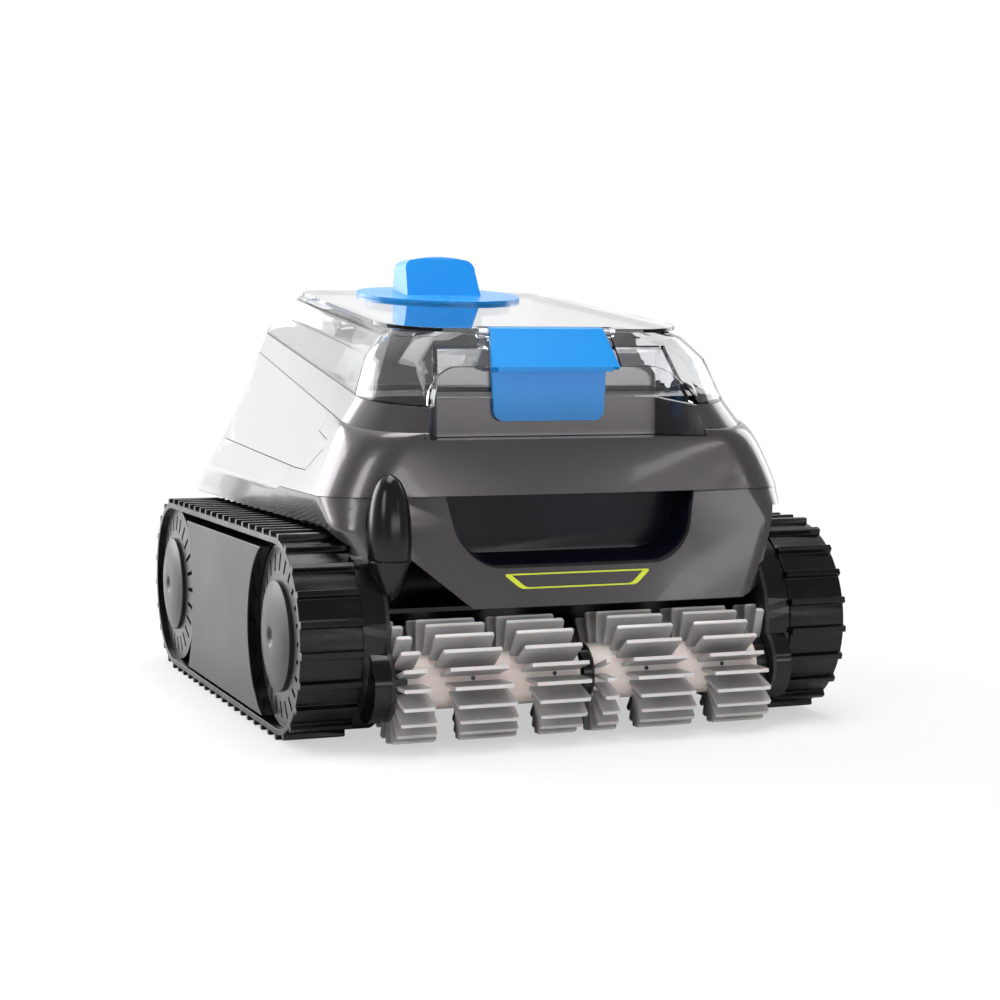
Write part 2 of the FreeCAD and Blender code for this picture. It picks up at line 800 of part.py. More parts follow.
def drive_motor(label, sign):
    keep(rod("x", *span(sign, "motor_start", "block_half - block_wall"), (PINION_Y, "axle_height"), "motor_radius"), label)


def motor_cradle(label):
    """Saddle under the drive motors, shaped to their cans."""
    rest = block(("-motor_start - cradle_length", "motor_start + cradle_length"),
                 (f"{PINION_Y} - motor_radius", f"{PINION_Y} + motor_radius"),
                 ("hull_floor + hull_wall + block_wall", "axle_height - motor_radius / 2"))
    cans = [rod("x", *span(sign, "motor_start", "block_half - block_wall"), (PINION_Y, "axle_height"), "motor_radius")
            for sign in SIDES.values()]
    between = block(("-motor_start", "motor_start"), (f"{PINION_Y} - motor_radius", f"{PINION_Y} + motor_radius"),
                    ("hull_floor + hull_wall + 2 * block_wall", "axle_height"))
    keep(subtract(rest, between, *cans), label)


def pump_motor(label):
    keep(rod("z", "hull_floor + hull_wall + block_wall", "block_top - block_wall - shaft_gap", ("0", "outlet_y"),
             "pump_radius"), label)


def battery(label):
    keep(block(("-battery_half", "battery_half"), ("block_front + block_wall + shaft_gap", "battery_rear"),
               ("hull_floor + hull_wall + block_wall", "battery_top")), label)


def control_board(label):
    keep(block(("-board_half", "board_half"), ("battery_rear + 2", "battery_rear + 2 + board_thick"),
               ("hull_floor + hull_wall + block_wall", "board_top")), label)


def pump_column(label):
    """Upright tube with windows at its foot and a spider that steadies the shaft."""
    foot = "block_top"
    outer = rod("z", foot, "column_top", ("0", "outlet_y"), "column_radius")
    inner = rod("z", foot, "column_top", ("0", "outlet_y"), "column_radius - duct_wall")
    windows = [block(("-column_radius", "column_radius"), ("outlet_y - window_half", "outlet_y + window_half"),
                     (f"{foot} + duct_wall", f"{foot} + window_rise")),
               block(("-window_half", "window_half"), ("outlet_y - column_radius", "outlet_y + column_radius"),
                     (f"{foot} + duct_wall", f"{foot} + window_rise"))]
    tube = subtract(outer, inner, *windows)
    arms = join(block(("-column_radius + duct_wall", "column_radius - duct_wall"),
                      ("outlet_y - duct_wall", "outlet_y + duct_wall"), ("spider_z", "spider_z + duct_wall")),
                block(("-duct_wall", "duct_wall"), ("outlet_y - column_radius + duct_wall",
                                                   "outlet_y + column_radius - duct_wall"),
                      ("spider_z", "spider_z + duct_wall")),
                rod("z", "spider_z", "spider_z + duct_wall", ("0", "outlet_y"), "pump_shaft + 2 * duct_wall"))
    bore = rod("z", "spider_z", "spider_z + duct_wall", ("0", "outlet_y"), "pump_shaft + running_gap")
    keep(join(tube, subtract(arms, bore)), label)


def propeller(label):
    """Shaft, hub and twisted blades that push the cleaned water out of the top."""
    middle = Vector(0, size("outlet_y"), 0)
    up = Vector(0, 0, 1)
    low = size("block_top") - size("block_wall")
    high = size("column_top") - size("shaft_gap")
    hub_height = size("propeller_height")
    shaft = Part.makeCylinder(size("pump_shaft"), high - low, middle + up * low, up)
    hub = Part.makeCylinder(size("propeller_hub"), hub_height, middle + up * (high - hub_height), up)
    tip = size("column_radius") - size("duct_wall") - size("propeller_gap")
    half = size("propeller_chord") / 2
    thick = size("propeller_thick")
    blades = []
    for number in range(int(size("propeller_blades"))):
        sections = []
        for radius, pitch in ((size("propeller_hub") - 1, 50), (tip, 25)):
            lean = math.radians(pitch)
            corners = [(-half, -thick / 2), (half, -thick / 2), (half, thick / 2), (-half, thick / 2)]
            points = [Vector(radius, x * math.cos(lean) - z * math.sin(lean), x * math.sin(lean) + z * math.cos(lean))
                      for x, z in corners]
            sections.append(Part.makePolygon(points + points[:1]))
        paddle = Part.makeLoft(sections, True, True)
        paddle.rotate(Vector(), up, 360 * number / size("propeller_blades"))
        paddle.translate(middle + up * (high - hub_height / 2))
        blades.append(paddle)
    moulded(shaft.fuse([hub] + blades), label)


# ---------------------------------------------------------------- moulded shells

def square_arc(start, end, square):
    """An arc from start to end that leans towards the square corner between them."""
    middle = (start + end) * 0.5
    return Part.Arc(start, middle + (square - middle) * CORNER_FULLNESS, end).toShape()


def outline(name, inset=0.0, shift=0.0):
    """One of the plan outlines as a closed wire in its own plane, drawn in by inset and moved up by shift."""
    at = {spot: size(f"{name}_{spot}") for spot in OUTLINE_PLACES}

    def point(x, y):
        return Vector(x, y, level(name, at["corner_y"], y) + shift)

    front = [point(sign * at["corner_x"], at["corner_y"] + inset) for sign in (-1, 1)]
    bend = [point(sign * (at["side_x"] - inset), at["side_y"]) for sign in (-1, 1)]
    back = [point(sign * (at["back_x"] - inset), at["back_y"]) for sign in (-1, 1)]
    rear = [point(sign * at["rear_x"], at["rear_y"] - inset) for sign in (-1, 1)]
    edges = [Part.Arc(front[0], point(0, at["front"] + inset), front[1]).toShape()]
    for side, sign in enumerate((-1, 1)):
        front_square = point(sign * (at["side_x"] - inset), at["corner_y"] + inset)
        rear_square = point(sign * (at["back_x"] - inset), at["rear_y"] - inset)
        edges.append(square_arc(front[side], bend[side], front_square))
        edges.append(Part.LineSegment(bend[side], back[side]).toShape())
        edges.append(square_arc(back[side], rear[side], rear_square))
    edges.append(Part.LineSegment(rear[0], rear[1]).toShape())
    return Part.Wire(Part.__sortEdges__(edges))


def level(name, reference, y):
    """Height of an outline's plane at a place y."""
    height, slope = OUTLINE_PLANES[name]
    return size(height) + (size(slope) * (y - reference) if slope else 0)


def skin_loft(names, inset=0.0, below=0.0, above=0.0, smooth=False):
    """Solid through the named outlines; inset draws it in, below and above run it past its two ends."""
    wires = [outline(name, inset) for name in names]
    wires[0] = outline(names[0], inset, -below)
    wires[-1] = outline(names[-1], inset, above)
    return Part.makeLoft(wires, True, not smooth)


def side_prism(points, half=300.0):
    """Prism across the machine from a side view of (y, z) points."""
    corners = [Vector(-half, y, z) for y, z in points]
    return Part.Face(Part.makePolygon(corners + corners[:1])).extrude(Vector(2 * half, 0, 0))


def front_prism(points, start, end):
    """Prism along the machine from a front view of (x, z) points."""
    corners = [Vector(x, start, z) for x, z in points]
    return Part.Face(Part.makePolygon(corners + corners[:1])).extrude(Vector(0, end - start, 0))


def cylinder(axis, start, end, across, radius):
    """A plain round bar along X, Y or Z."""
    spots = {"x": (start, *across), "y": (across[0], start, across[1]), "z": (*across, start)}
    direction = {"x": Vector(1, 0, 0), "y": Vector(0, 1, 0), "z": Vector(0, 0, 1)}
    return Part.makeCylinder(radius, end - start, Vector(*spots[axis]), direction[axis])


def cuboid(x, y, z):
    return Part.makeBox(x[1] - x[0], y[1] - y[0], z[1] - z[0], Vector(x[0], y[0], z[0]))


def both_sides(shape):
    return [shape, shape.mirror(Vector(), Vector(1, 0, 0))]


def rim_plane(y):
    return level("rim", size("rim_corner_y"), y)


def foot_plane(y):
    return level("foot", size("foot_corner_y"), y)


def under(plane, lift=0.0):
    """Everything below a sloping plane, as a prism."""
    return side_prism([(-300, 0), (300, 0), (300, plane(300) + lift), (-300, plane(-300) + lift)])


def seam_line(gap=0.0):
    """Side view of the rear shell, with a round nose in its front edge; gap widens it where it meets its neighbours."""
    def spot(y, z):
        return Vector(-FAR, size(y) - gap, size(z) - gap)

    def far(z):
        return Vector(-FAR, FAR, z)

    top = Vector(-FAR, size("step_top") - gap, 320)
    step_high, step_foot = spot("step_top", "step_high"), spot("step_foot", "step_low")
    nose_top, nose_tip, nose_foot = (spot("nose_top", "nose_high"), spot("nose_tip", "nose_middle"),
                                     spot("nose_foot", "nose_low"))
    step_high.z = size("step_high")
    step_foot.z = size("step_low") + gap
    nose_top.z = size("nose_high") + gap
    corners = [nose_foot, spot("sweep_foot", "tail_low"), spot("tail_front", "tail_low"),
               far(size("tail_low") + size("tail_rise") - gap), far(320), top, step_high, step_foot, nose_top]
    edges = [Part.LineSegment(start, end).toShape() for start, end in zip(corners, corners[1:])]
    edges.append(Part.Arc(nose_top, nose_tip, nose_foot).toShape())
    return Part.Face(Part.Wire(edges)).extrude(Vector(2 * FAR, 0, 0))


def front_part(gap=0.0):
    """Side view of what belongs to the front shell under the rear one."""
    return side_prism([(-300, size("seam_height") - gap), (size("heel_back") + gap, size("seam_height") - gap),
                       (size("heel_front") + gap, size("tail_low") + gap), (size("heel_front") + gap, 320), (-300, 320)])


def recess(grow=0.0, low=0.0):
    """Space for the fingers in the front edge: a straight back wall with cheeks that flare out."""
    half = size("recess_half") + grow
    back = size("recess_wall") + grow
    flare_x = size("rim_corner_x") + grow
    flare_y = size("rim_corner_y")
    points = [Vector(-half, back, low), Vector(half, back, low)]
    cheek = [Vector(flare_x, flare_y, low), Vector(flare_x, flare_y - 60, low)]
    left = [Vector(-point.x, point.y, low) for point in cheek]
    bulge = Vector((half + flare_x) / 2 - size("cheek_hollow"), (back + flare_y) / 2 - size("cheek_hollow"), low)
    edges = [Part.LineSegment(points[0], points[1]).toShape(),
             Part.Arc(points[1], bulge, cheek[0]).toShape(),
             Part.LineSegment(cheek[0], cheek[1]).toShape(),
             Part.LineSegment(cheek[1], left[1]).toShape(),
             Part.LineSegment(left[1], left[0]).toShape(),
             Part.Arc(left[0], Vector(-bulge.x, bulge.y, low), points[0]).toShape()]
    return Part.Face(Part.Wire(edges)).extrude(Vector(0, 0, 400))


def spindle(grow=0.0, half_turn=None):
    """Pointed housing turned about its own upright axis; half_turn 1 or -1 gives only its rear or front half."""
    radius = size("pod_radius") + grow
    low, waist, high = size("pod_low") - grow, size("pod_waist"), size("pod_high") + grow
    side = Vector(half_turn or 0, 0 if half_turn else 1, 0)

    def spot(out, z):
        return side * out + Vector(0, 0, z)

    tip = size("pod_tip")
    profile = [Part.LineSegment(spot(0, low), spot(0, high)).toShape(),
               Part.LineSegment(spot(0, high), spot(tip, high)).toShape(),
               Part.Arc(spot(tip, high), spot(0.74 * radius, high - size("pod_nose")), spot(radius, waist)).toShape(),
               Part.Arc(spot(radius, waist), spot(0.7 * radius, low + size("pod_tail")), spot(tip, low)).toShape(),
               Part.LineSegment(spot(tip, low), spot(0, low)).toShape()]
    body = Part.Face(Part.Wire(profile)).revolve(Vector(), Vector(0, 0, 1), 180 if half_turn else 360)
    body.translate(Vector(size("pod_x"), size("pod_y"), 0))
    return body


def grip_outline(y, grow=0.0, flare=0.0):
    """Front view of the grip pocket at a place y: wide at the top, with large rounded lower corners."""
    side = grow + flare * size("grip_flare")
    floor = size("grip_floor") - grow - flare * size("grip_lip")
    drop = flare * size("grip_lip") / 2
    high = size("seam_height") + 60
    right = [Vector(size("grip_top") + side, y, high),
             Vector(size("grip_top") + side, y, size("seam_height")),
             Vector(size("grip_side") + side, y, size("grip_side_height")),
             Vector(size("grip_bend") + side, y, size("grip_bend_height") - drop),
             Vector(size("grip_low"), y, floor)]
    left = [Vector(-point.x, point.y, point.z) for point in right]
    edges = [Part.LineSegment(left[0], right[0]).toShape(),
             Part.LineSegment(right[0], right[1]).toShape(),
             Part.LineSegment(right[1], right[2]).toShape(),
             Part.Arc(right[2], right[3], right[4]).toShape(),
             Part.LineSegment(right[4], left[4]).toShape(),
             Part.Arc(left[4], left[3], left[2]).toShape(),
             Part.LineSegment(left[2], left[1]).toShape(),
             Part.LineSegment(left[1], left[0]).toShape()]
    return Part.Wire(edges)


def grip_space(grow=0.0, back=0.0):
    """Hand pocket behind the apron, with a flared mouth."""
    mouth, throat = size("grip_mouth"), size("grip_throat")
    funnel = Part.makeLoft([grip_outline(mouth - 30, grow, 1 + 30 / (throat - mouth)), grip_outline(throat, grow)],
                           True, True)
    depth = size("grip_back") + back - throat
    return funnel.fuse(Part.Face(grip_outline(throat, grow)).extrude(Vector(0, depth, 0))).removeSplitter()


def lower_shell(label):
    """Apron, bumper and skirt in one moulding; behind the front shell its side rises to the rear shell."""
    skin = size("skin")
    names = ("apron", "skirt", "sill")
    low = skin_loft(names).cut(skin_loft(names, skin, 1, 1))
    high = upper_solid().cut(upper_solid(skin, 1, 1))
    gap = size("seam_gap")
    high = high.cut(seam_line(gap))
    shape = low.fuse(high).cut(front_part(gap))
    skirt = size("skirt_height")
    start = size("skirt_start")
    shape = shape.cut(side_prism([(start, 0), (300, 0), (300, skirt), (start, skirt)]))
    axle = (size("front_axle"), size("axle_height"))
    arch = cylinder("x", size("arch_inner"), FAR, axle, size("arch_low"))
    arch = arch.fuse(cylinder("x", size("arch_outer"), FAR, axle, size("arch_high")))
    left_edge = [(-FAR, 0), (-size("apron_left"), 0), (-size("apron_left"), size("apron_height")),
                 (-size("slant_left"), size("slant_height")), (-FAR, size("slant_height"))]
    right_edge = [(size("apron_right"), 0), (size("apron_right"), size("apron_height")),
                  (size("right_bend"), size("right_bend_height")), (size("right_high"), size("right_high_height")),
                  (FAR, size("right_high_height")), (FAR, 0)]
    apron_cuts = [front_prism(edge, -FAR, start) for edge in (left_edge, right_edge)]
    shape = shape.cut(both_sides(arch) + apron_cuts + [grip_space(), spindle(gap)])
    over_belt = cuboid((-FAR, FAR), (size("front_axle"), start), (0, size("axle_height") + size("arch_high")))
    button_hole = cylinder("y", 0, 300, (0, size("button_z")), size("button_radius") + gap)
    shape = shape.cut([over_belt, button_hole])
    moulded(biggest(shape), label)


def biggest(shape):
    """The main solid of a cut shape, without the slivers that trimming leaves."""
    return max(shape.Solids, key=lambda solid: solid.Volume)


def upper_solid(inset=0.0, below=0.0, above=0.0):
    return skin_loft(("seam", "ridge", "rim"), inset, below, above, smooth=True)


def front_shell(label):
    """Rounded brow over the brushes, with a finger recess let into its top edge."""
    skin = size("skin")
    gap = size("seam_gap")
    solid = upper_solid()
    floor = size("recess_floor")
    shell = solid.cut(upper_solid(skin, 1, 1))
    tray = solid.common(recess(skin, floor - skin)).common(cuboid((-300, 300), (-300, 300), (floor - skin, floor)))
    shell = shell.fuse(tray).cut([recess(0, floor), recess(skin + gap, floor + gap)])
    shell = shell.common(front_part()).cut(seam_line(gap))
    moulded(biggest(shell.cut(spindle(gap))), label)


def rear_shell(label):
    skin = size("skin")
    shell = upper_solid().cut(upper_solid(skin, 1, 1)).common(seam_line())
    moulded(biggest(shell), label)


def rim_frame(label):
    """Ring under the lid, with the back wall of the finger recess and the deck that carries the filter."""
    skin = size("skin")
    gap = size("seam_gap")
    deck_high = size("deck_height")
    deck_low = deck_high - skin
    solid = skin_loft(("rim", "foot"))
    ring = solid.cut(skin_loft(("rim", "foot"), skin, 1, 1))
    everything = upper_solid().fuse(solid)
    wall = everything.common(recess(skin, size("recess_floor") + gap)).cut(recess(0, 0))
    wall = wall.common(under(foot_plane))
    bay = skin_loft(("rim", "foot"), skin - 0.5, 0, 0).fuse(upper_solid(skin + gap, 0, 0))
    deck = bay.common(cuboid((-300, 300), (size("recess_wall") + skin - 0.5, 300), (deck_low, deck_high)))
    deck = deck.common(under(foot_plane))
    well = cuboid((-size("well_half"), size("well_half")), (size("well_front"), size("well_rear")), (0, 300))
    pump_well = cylinder("z", 0, 300, (0, size("outlet_y")), size("column_radius") + 3 * gap)
    shape = ring.fuse([wall, deck]).cut([recess(0, 0).common(cuboid((-300, 300), (-300, size("recess_wall")), (0, 400))),
                                         well, pump_well])
    lifted = shape.cut(upper_solid(0, 1, gap).cut(recess(skin + 1, 0)).cut(upper_solid(skin, 2, 2)))
    for bracket in hinge_knuckles(False):
        lifted = lifted.fuse(bracket)
    pin = cylinder("x", -200, 200, (size("hinge_y"), size("hinge_z")), size("pin_radius"))
    moulded(biggest(lifted.cut(pin)), label)


def hinge_knuckles(on_lid):
    """Barrels with their brackets: the outer ones sit on the rim frame, the inner ones on the lid."""
    y = size("hinge_y")
    z = size("hinge_z")
    radius = size("knuckle_radius")
    gap = size("seam_gap")
    solids = []
    for sign in SIDES.values():
        middle = sign * size("knuckle_spread")
        offset = size("knuckle_length") * (-0.5 if on_lid else 0.5) * sign
        start = middle + offset - size("knuckle_length") / 2 + gap / 2
        end = start + size("knuckle_length") - gap
        barrel = cylinder("x", start, end, (y, z), radius)
        if on_lid:
            bracket = cuboid((start, end), (size("foot_rear_y") - size("glass"), y), (z + 1, z + radius))
        else:
            bracket = cuboid((start, end), (size("rim_rear_y") - 2, y + radius - 1), (z - 2 * radius - 3, z - 1))
        solids.append(barrel.fuse(bracket))
    return solids


# ---------------------------------------------------------------- lid

LID_OUTLINES = ("foot", "dome", "shoulder", "crown")


def lid_solid(inset=0.0, below=0.0, above=0.0):
    return skin_loft(LID_OUTLINES, inset, below - size("lid_gap") if below == 0 else below, above)


def visor_space(grow=0.0):
    """Finger space that carries on up behind the slanted front of the lid."""
    top = size("visor_top") + grow
    return recess(grow, 150).common(cuboid((-300, 300), (-300, 300), (0, top)))


def visor_arch():
    """Opening below the free edge of the lid: upright feet that bend over into a level top edge."""
    high, low = size("visor_edge"), size("foot_height") - 12
    feet = size("foot_height") + 1
    right = [Vector(size("foot_corner_x") + 3, 0, low), Vector(size("visor_foot"), 0, feet),
             Vector(size("visor_bend"), 0, size("visor_bend_height")), Vector(size("visor_half"), 0, high)]
    left = [Vector(-point.x, 0, point.z) for point in right]
    edges = [Part.LineSegment(left[0], right[0]).toShape(),
             Part.LineSegment(right[0], right[1]).toShape(),
             Part.Arc(right[1], right[2], right[3]).toShape(),
             Part.LineSegment(right[3], left[3]).toShape(),
             Part.Arc(left[3], left[2], left[1]).toShape(),
             Part.LineSegment(left[1], left[0]).toShape()]
    prism = Part.Face(Part.Wire(edges)).extrude(Vector(0, 100, 0))
    prism.translate(Vector(0, -230, 0))
    behind = size("glass") + 1
    lean = (size("latch_low_y") - size("latch_top_y")) / (size("visor_edge") - size("latch_top_z"))

    def slope(z):
        return size("latch_top_y") + lean * (z - size("latch_top_z")) + behind

    return prism.common(side_prism([(-300, 150), (slope(150), 150), (slope(300), 300), (-300, 300)]))


def lid_shell(label):
    """Clear cover: rounded walls, an arched free edge over the recess and a notch for the latch."""
    glass = size("glass")
    pocket_wall = visor_space(glass).cut(visor_space())
    inside = lid_solid(glass, 2, 2)
    shape = lid_solid().cut(inside.cut(pocket_wall)).cut(visor_arch())
    edge = size("visor_edge")
    notch = front_prism([(-size("notch_top"), 300), (size("notch_top"), 300), (size("notch_low"), edge - 1),
                         (-size("notch_low"), edge - 1)], -220, size("latch_y") + size("barrel_radius") + 1)
    shape = shape.cut(notch)
    reach = size("glass") + 1
    for sign in SIDES.values():
        start = sign * size("seat_middle") - size("seat_half")
        seat = cylinder("x", start, start + 2 * size("seat_half"), (size("latch_y"), size("latch_z")),
                        size("barrel_radius"))
        web = cuboid((start, start + 2 * size("seat_half")), (size("latch_y") - reach, size("latch_y")),
                     (size("visor_top"), size("latch_z")))
        shape = shape.fuse(seat.fuse(web).common(inside))
    pin = cylinder("x", -200, 200, (size("latch_y"), size("latch_z")), size("pin_radius"))
    for knuckle in hinge_knuckles(True):
        shape = shape.fuse(knuckle.cut(lid_solid(glass, 2, 2)))
    bore = cylinder("x", -200, 200, (size("hinge_y"), size("hinge_z")), size("pin_radius") + size("running_gap"))
    moulded(biggest(shape.cut([pin, bore])), label)


def lid_top(label):
    """Flat clear panel that lies on the lid, opened for the outlet and notched for the latch and its seats."""
    gap = size("seam_gap")
    slab = Part.makeLoft([outline("panel"), outline("panel", 0, size("glass"))], True, True)
    hole = cylinder("z", -100, 100, (0, 0), size("throat_radius") + gap)
    seats = size("seat_middle") + size("seat_half") + gap
    front, back = size("latch_y") - size("barrel_radius") - gap, size("latch_y") + size("barrel_radius") + gap
    notch = cuboid((-size("panel_notch"), size("panel_notch")), (-FAR, back), (0, FAR))
    notch = notch.fuse(cuboid((-seats, seats), (front, back), (0, FAR)))
    moulded(biggest(slab.cut([on_panel(hole), notch])), label)


def on_panel(shape):
    """Put a shape that is built round the Z axis on top of the panel, square to its slope, at the outlet."""
    y = size("outlet_y")
    shape.rotate(Vector(), Vector(1, 0, 0), math.degrees(math.atan(size("crown_slope"))))
    shape.translate(Vector(0, y, level("panel", size("panel_corner_y"), y) + size("glass")))
    return shape


def latch_profile(points):
    """A slice of the latch from a side view, wide enough to be trimmed to its front view."""
    return side_prism(points, 60)


def latch_plane(drop, depth):
    """Side-view point on the latch's sloping face: drop below its top edge, depth behind the face."""
    run = Vector(size("latch_low_y") - size("latch_top_y"), size("visor_edge") - size("latch_top_z"), 0)
    along = run * (1 / run.Length)
    inward = Vector(-along.y, along.x, 0)
    at = Vector(size("latch_top_y"), size("latch_top_z"), 0) + along * drop + inward * depth
    return (at.x, at.y), run.Length


def latch_plate(label):
    """Sloping finger plate that fills the notch of the lid and turns on a barrel behind its top edge."""
    thick = size("latch_thick")
    length = latch_plane(0, 0)[1]
    slab = latch_profile([latch_plane(drop, depth)[0] for drop, depth in
                          ((0, 0), (length, 0), (length, thick), (0, thick))])
    gap = size("seam_gap")
    trim = front_prism([(-size("notch_top") + gap, size("latch_top_z")), (size("notch_top") - gap, size("latch_top_z")),
                        (size("notch_low") - gap, size("visor_edge") - 5), (-size("notch_low") + gap, size("visor_edge") - 5)],
                       -220, 0)
    barrel_half = size("seat_middle") - size("seat_half") - 2 * gap
    barrel = cylinder("x", -barrel_half, barrel_half, (size("latch_y"), size("latch_z")), size("barrel_radius"))
    bore = cylinder("x", -60, 60, (size("latch_y"), size("latch_z")), size("pin_radius") + size("running_gap"))
    moulded(biggest(slab.common(trim).fuse(barrel).cut(bore)), label)


def latch_flap(label):
    """Tongue that hangs into the finger recess, joined to the plate by a short web."""
    thick = size("latch_thick")
    front = size("recess_wall") - size("flap_gap") - thick
    corner = latch_plane(latch_plane(0, 0)[1], 0)[0]
    inner = latch_plane(latch_plane(0, 0)[1], thick)[0]
    web = latch_profile([corner, (corner[0] + 1, corner[1] - thick), (front + thick, corner[1] - thick),
                         (front + thick, inner[1]), inner])
    web = web.common(cuboid((-size("flap_top"), size("flap_top")), (-300, 0), (0, 400)))
    top, low = size("flap_top"), size("flap_low")
    high, floor, bend = size("visor_edge"), size("flap_floor"), size("flap_corner")
    edges = [Part.LineSegment(Vector(-top, front, high), Vector(top, front, high)).toShape()]
    for sign in (1, -1):
        start = Vector(sign * low, front, floor + bend)
        stop = Vector(sign * (low - bend), front, floor)
        edges.append(Part.LineSegment(Vector(sign * top, front, high), start).toShape())
        edges.append(square_arc(start, stop, Vector(sign * low, front, floor)))
    edges.append(Part.LineSegment(Vector(low - bend, front, floor), Vector(bend - low, front, floor)).toShape())
    tongue = Part.Face(Part.Wire(Part.__sortEdges__(edges))).extrude(Vector(0, thick, 0))
    moulded(biggest(web.fuse(tongue)), label)


def outlet(label):
    """Water outlet: a hood open to the rear on a round flange, with the throat and duct below it."""
    wall = size("duct_wall")
    throat, duct = size("throat_radius"), size("duct_radius")
    step, low = -size("throat_depth"), -size("duct_depth")
    centre = (0, 0)
    body = cylinder("z", 0, size("flange_thick"), centre, size("outlet_radius"))
    body = body.fuse([cylinder("z", step, 1, centre, throat), cylinder("z", low, step + 1, centre, duct)])
    body = body.cut([cylinder("z", step + wall, 0, centre, throat - wall),
                     cylinder("z", low - 1, step + wall + 1, centre, duct - wall)])
    body = on_panel(body)
    hood = hood_solid(0).cut(hood_solid(wall))
    top = on_panel(cuboid((-100, 100), (-100, 100), (size("flange_thick") / 2, 60)))
    mouth = hood_solid(wall).cut(top)
    moulded(biggest(body.fuse(hood.common(top)).cut(mouth)), label)


def hood_solid(inset):
    """Round-shouldered hood with a front that leans back; the inset copy is longer towards the rear and below."""
    base, top = size("hood_base") - inset, size("hood_top") - inset
    low, high = size("hood_low") - 3 - inset, size("hood_high") - inset
    shoulder, corner = size("hood_shoulder") - inset, high - size("hood_crown")
    bend = top - size("hood_round")
    front = size("hood_front") + inset
    rear = size("hood_rear") + (1 if inset else 0)
    middle = Vector(top - size("hood_bend"), front, (shoulder + corner) / 2 + size("hood_bend"))
    edges = [Part.LineSegment(Vector(-base, front, low), Vector(base, front, low)).toShape()]
    for sign in (1, -1):
        side = Vector(sign * top, front, shoulder)
        edges.append(Part.LineSegment(Vector(sign * base, front, low), side).toShape())
        edges.append(Part.Arc(side, Vector(sign * middle.x, front, middle.z),
                              Vector(sign * bend, front, corner)).toShape())
    edges.append(Part.Arc(Vector(bend, front, corner), Vector(0, front, high), Vector(-bend, front, corner)).toShape())
    bar = Part.Face(Part.Wire(Part.__sortEdges__(edges))).extrude(Vector(0, rear - front, 0))
    rise = size("hood_high") - size("hood_low")
    slant = size("hood_lean") / rise
    foot = size("hood_low") - 20
    crown = size("hood_high") + 20
    return bar.cut(side_prism([(-100, foot), (front + slant * (foot - size("hood_low")), foot),
                               (front + slant * (crown - size("hood_low")), crown), (-100, crown)]))


def filter_canister(label):
    """Basket with windows, a flange that rests on the deck and a tapered closed top."""
    half, front, rear = size("basket_half"), size("basket_front"), size("basket_rear")
    floor, seat, wall = size("basket_floor"), size("deck_height") + size("shaft_gap"), size("duct_wall")
    flange = size("flange_high")
    basket = cuboid((-half, half), (front, rear), (floor, seat))
    rest = cuboid((-size("flange_half"), size("flange_half")), (front - 8, rear + 8), (seat, seat + flange))
    inside = cuboid((-half + wall, half - wall), (front + wall, rear - wall), (floor + wall, seat + flange))

    def cap(inset):
        low, high = seat + flange, size("canister_top") - inset
        sections = []
        for across, front_y, rear_y, z in ((size("cap_low_half"), front - 4, rear + 4, low),
                                           (size("cap_top_half"), front + 18, rear - 2, high)):
            corners = [(-across + inset, front_y + inset), (across - inset, front_y + inset),
                       (across - inset, rear_y - inset), (-across + inset, rear_y - inset)]
            sections.append(Part.makePolygon([Vector(x, y, z) for x, y in corners + corners[:1]]))
        return Part.makeLoft(sections, True, True)

    shape = basket.fuse([rest, cap(0)]).cut([inside, cap(wall)])
    low, high = floor + size("window_sill"), seat - size("window_sill")
    windows = []
    for start, end in window_spans(half):
        windows.append(cuboid((start, end), (front - 1, rear + 1), (low, high)))
    side_low, side_high = front + size("window_bar"), rear - size("window_bar")
    windows.append(cuboid((-half - 1, half + 1), (side_low, side_high), (low, high)))
    inlet = cuboid((-size("inlet_half"), size("inlet_half")), (size("inlet_front"), size("inlet_rear")),
                   (floor - 1, floor + wall))
    moulded(biggest(shape.cut(windows + [inlet])), label)


def window_spans(half):
    """Even windows along the basket's long sides."""
    count = int(size("window_count"))
    bar = size("window_bar")
    wide = (2 * half - bar * (count + 1)) / count
    return [(-half + bar + number * (wide + bar), -half + (number + 1) * (wide + bar)) for number in range(count)]


def filter_mesh(label):
    """Fine mesh panels that fill the basket's windows."""
    half, front, rear = size("basket_half"), size("basket_front"), size("basket_rear")
    floor, seat, wall = size("basket_floor"), size("deck_height") + size("shaft_gap"), size("duct_wall")
    low, high = floor + size("window_sill"), seat - size("window_sill")
    thick = size("mesh_thick")
    inset = (wall - thick) / 2
    panels = []
    for start, end in window_spans(half):
        panels.append(cuboid((start, end), (front + inset, front + inset + thick), (low, high)))
        panels.append(cuboid((start, end), (rear - inset - thick, rear - inset), (low, high)))
    side_low, side_high = front + size("window_bar"), rear - size("window_bar")
    for start in (-half + inset, half - inset - thick):
        panels.append(cuboid((start, start + thick), (side_low, side_high), (low, high)))
    moulded(Part.makeCompound(panels), label)


def inlet_flap(label):
    """Thin door over the filter's inlet, hinged along its front edge, that falls shut when the pump stops."""
    floor = size("basket_floor") + size("duct_wall")
    gap = size("seam_gap")
    radius = size("flap_hinge")
    low = floor + gap
    lap = size("flap_lap")
    hinge = size("inlet_front") - lap + radius
    plate = cuboid((-size("inlet_half") - 3 * lap, size("inlet_half") + 3 * lap),
                   (hinge, size("inlet_rear") + 3 * lap), (low, low + size("flap_thick")))
    barrel = cylinder("x", -size("inlet_half") - 3 * lap, size("inlet_half") + 3 * lap, (hinge, low + radius), radius)
    moulded(plate.fuse(barrel), label)


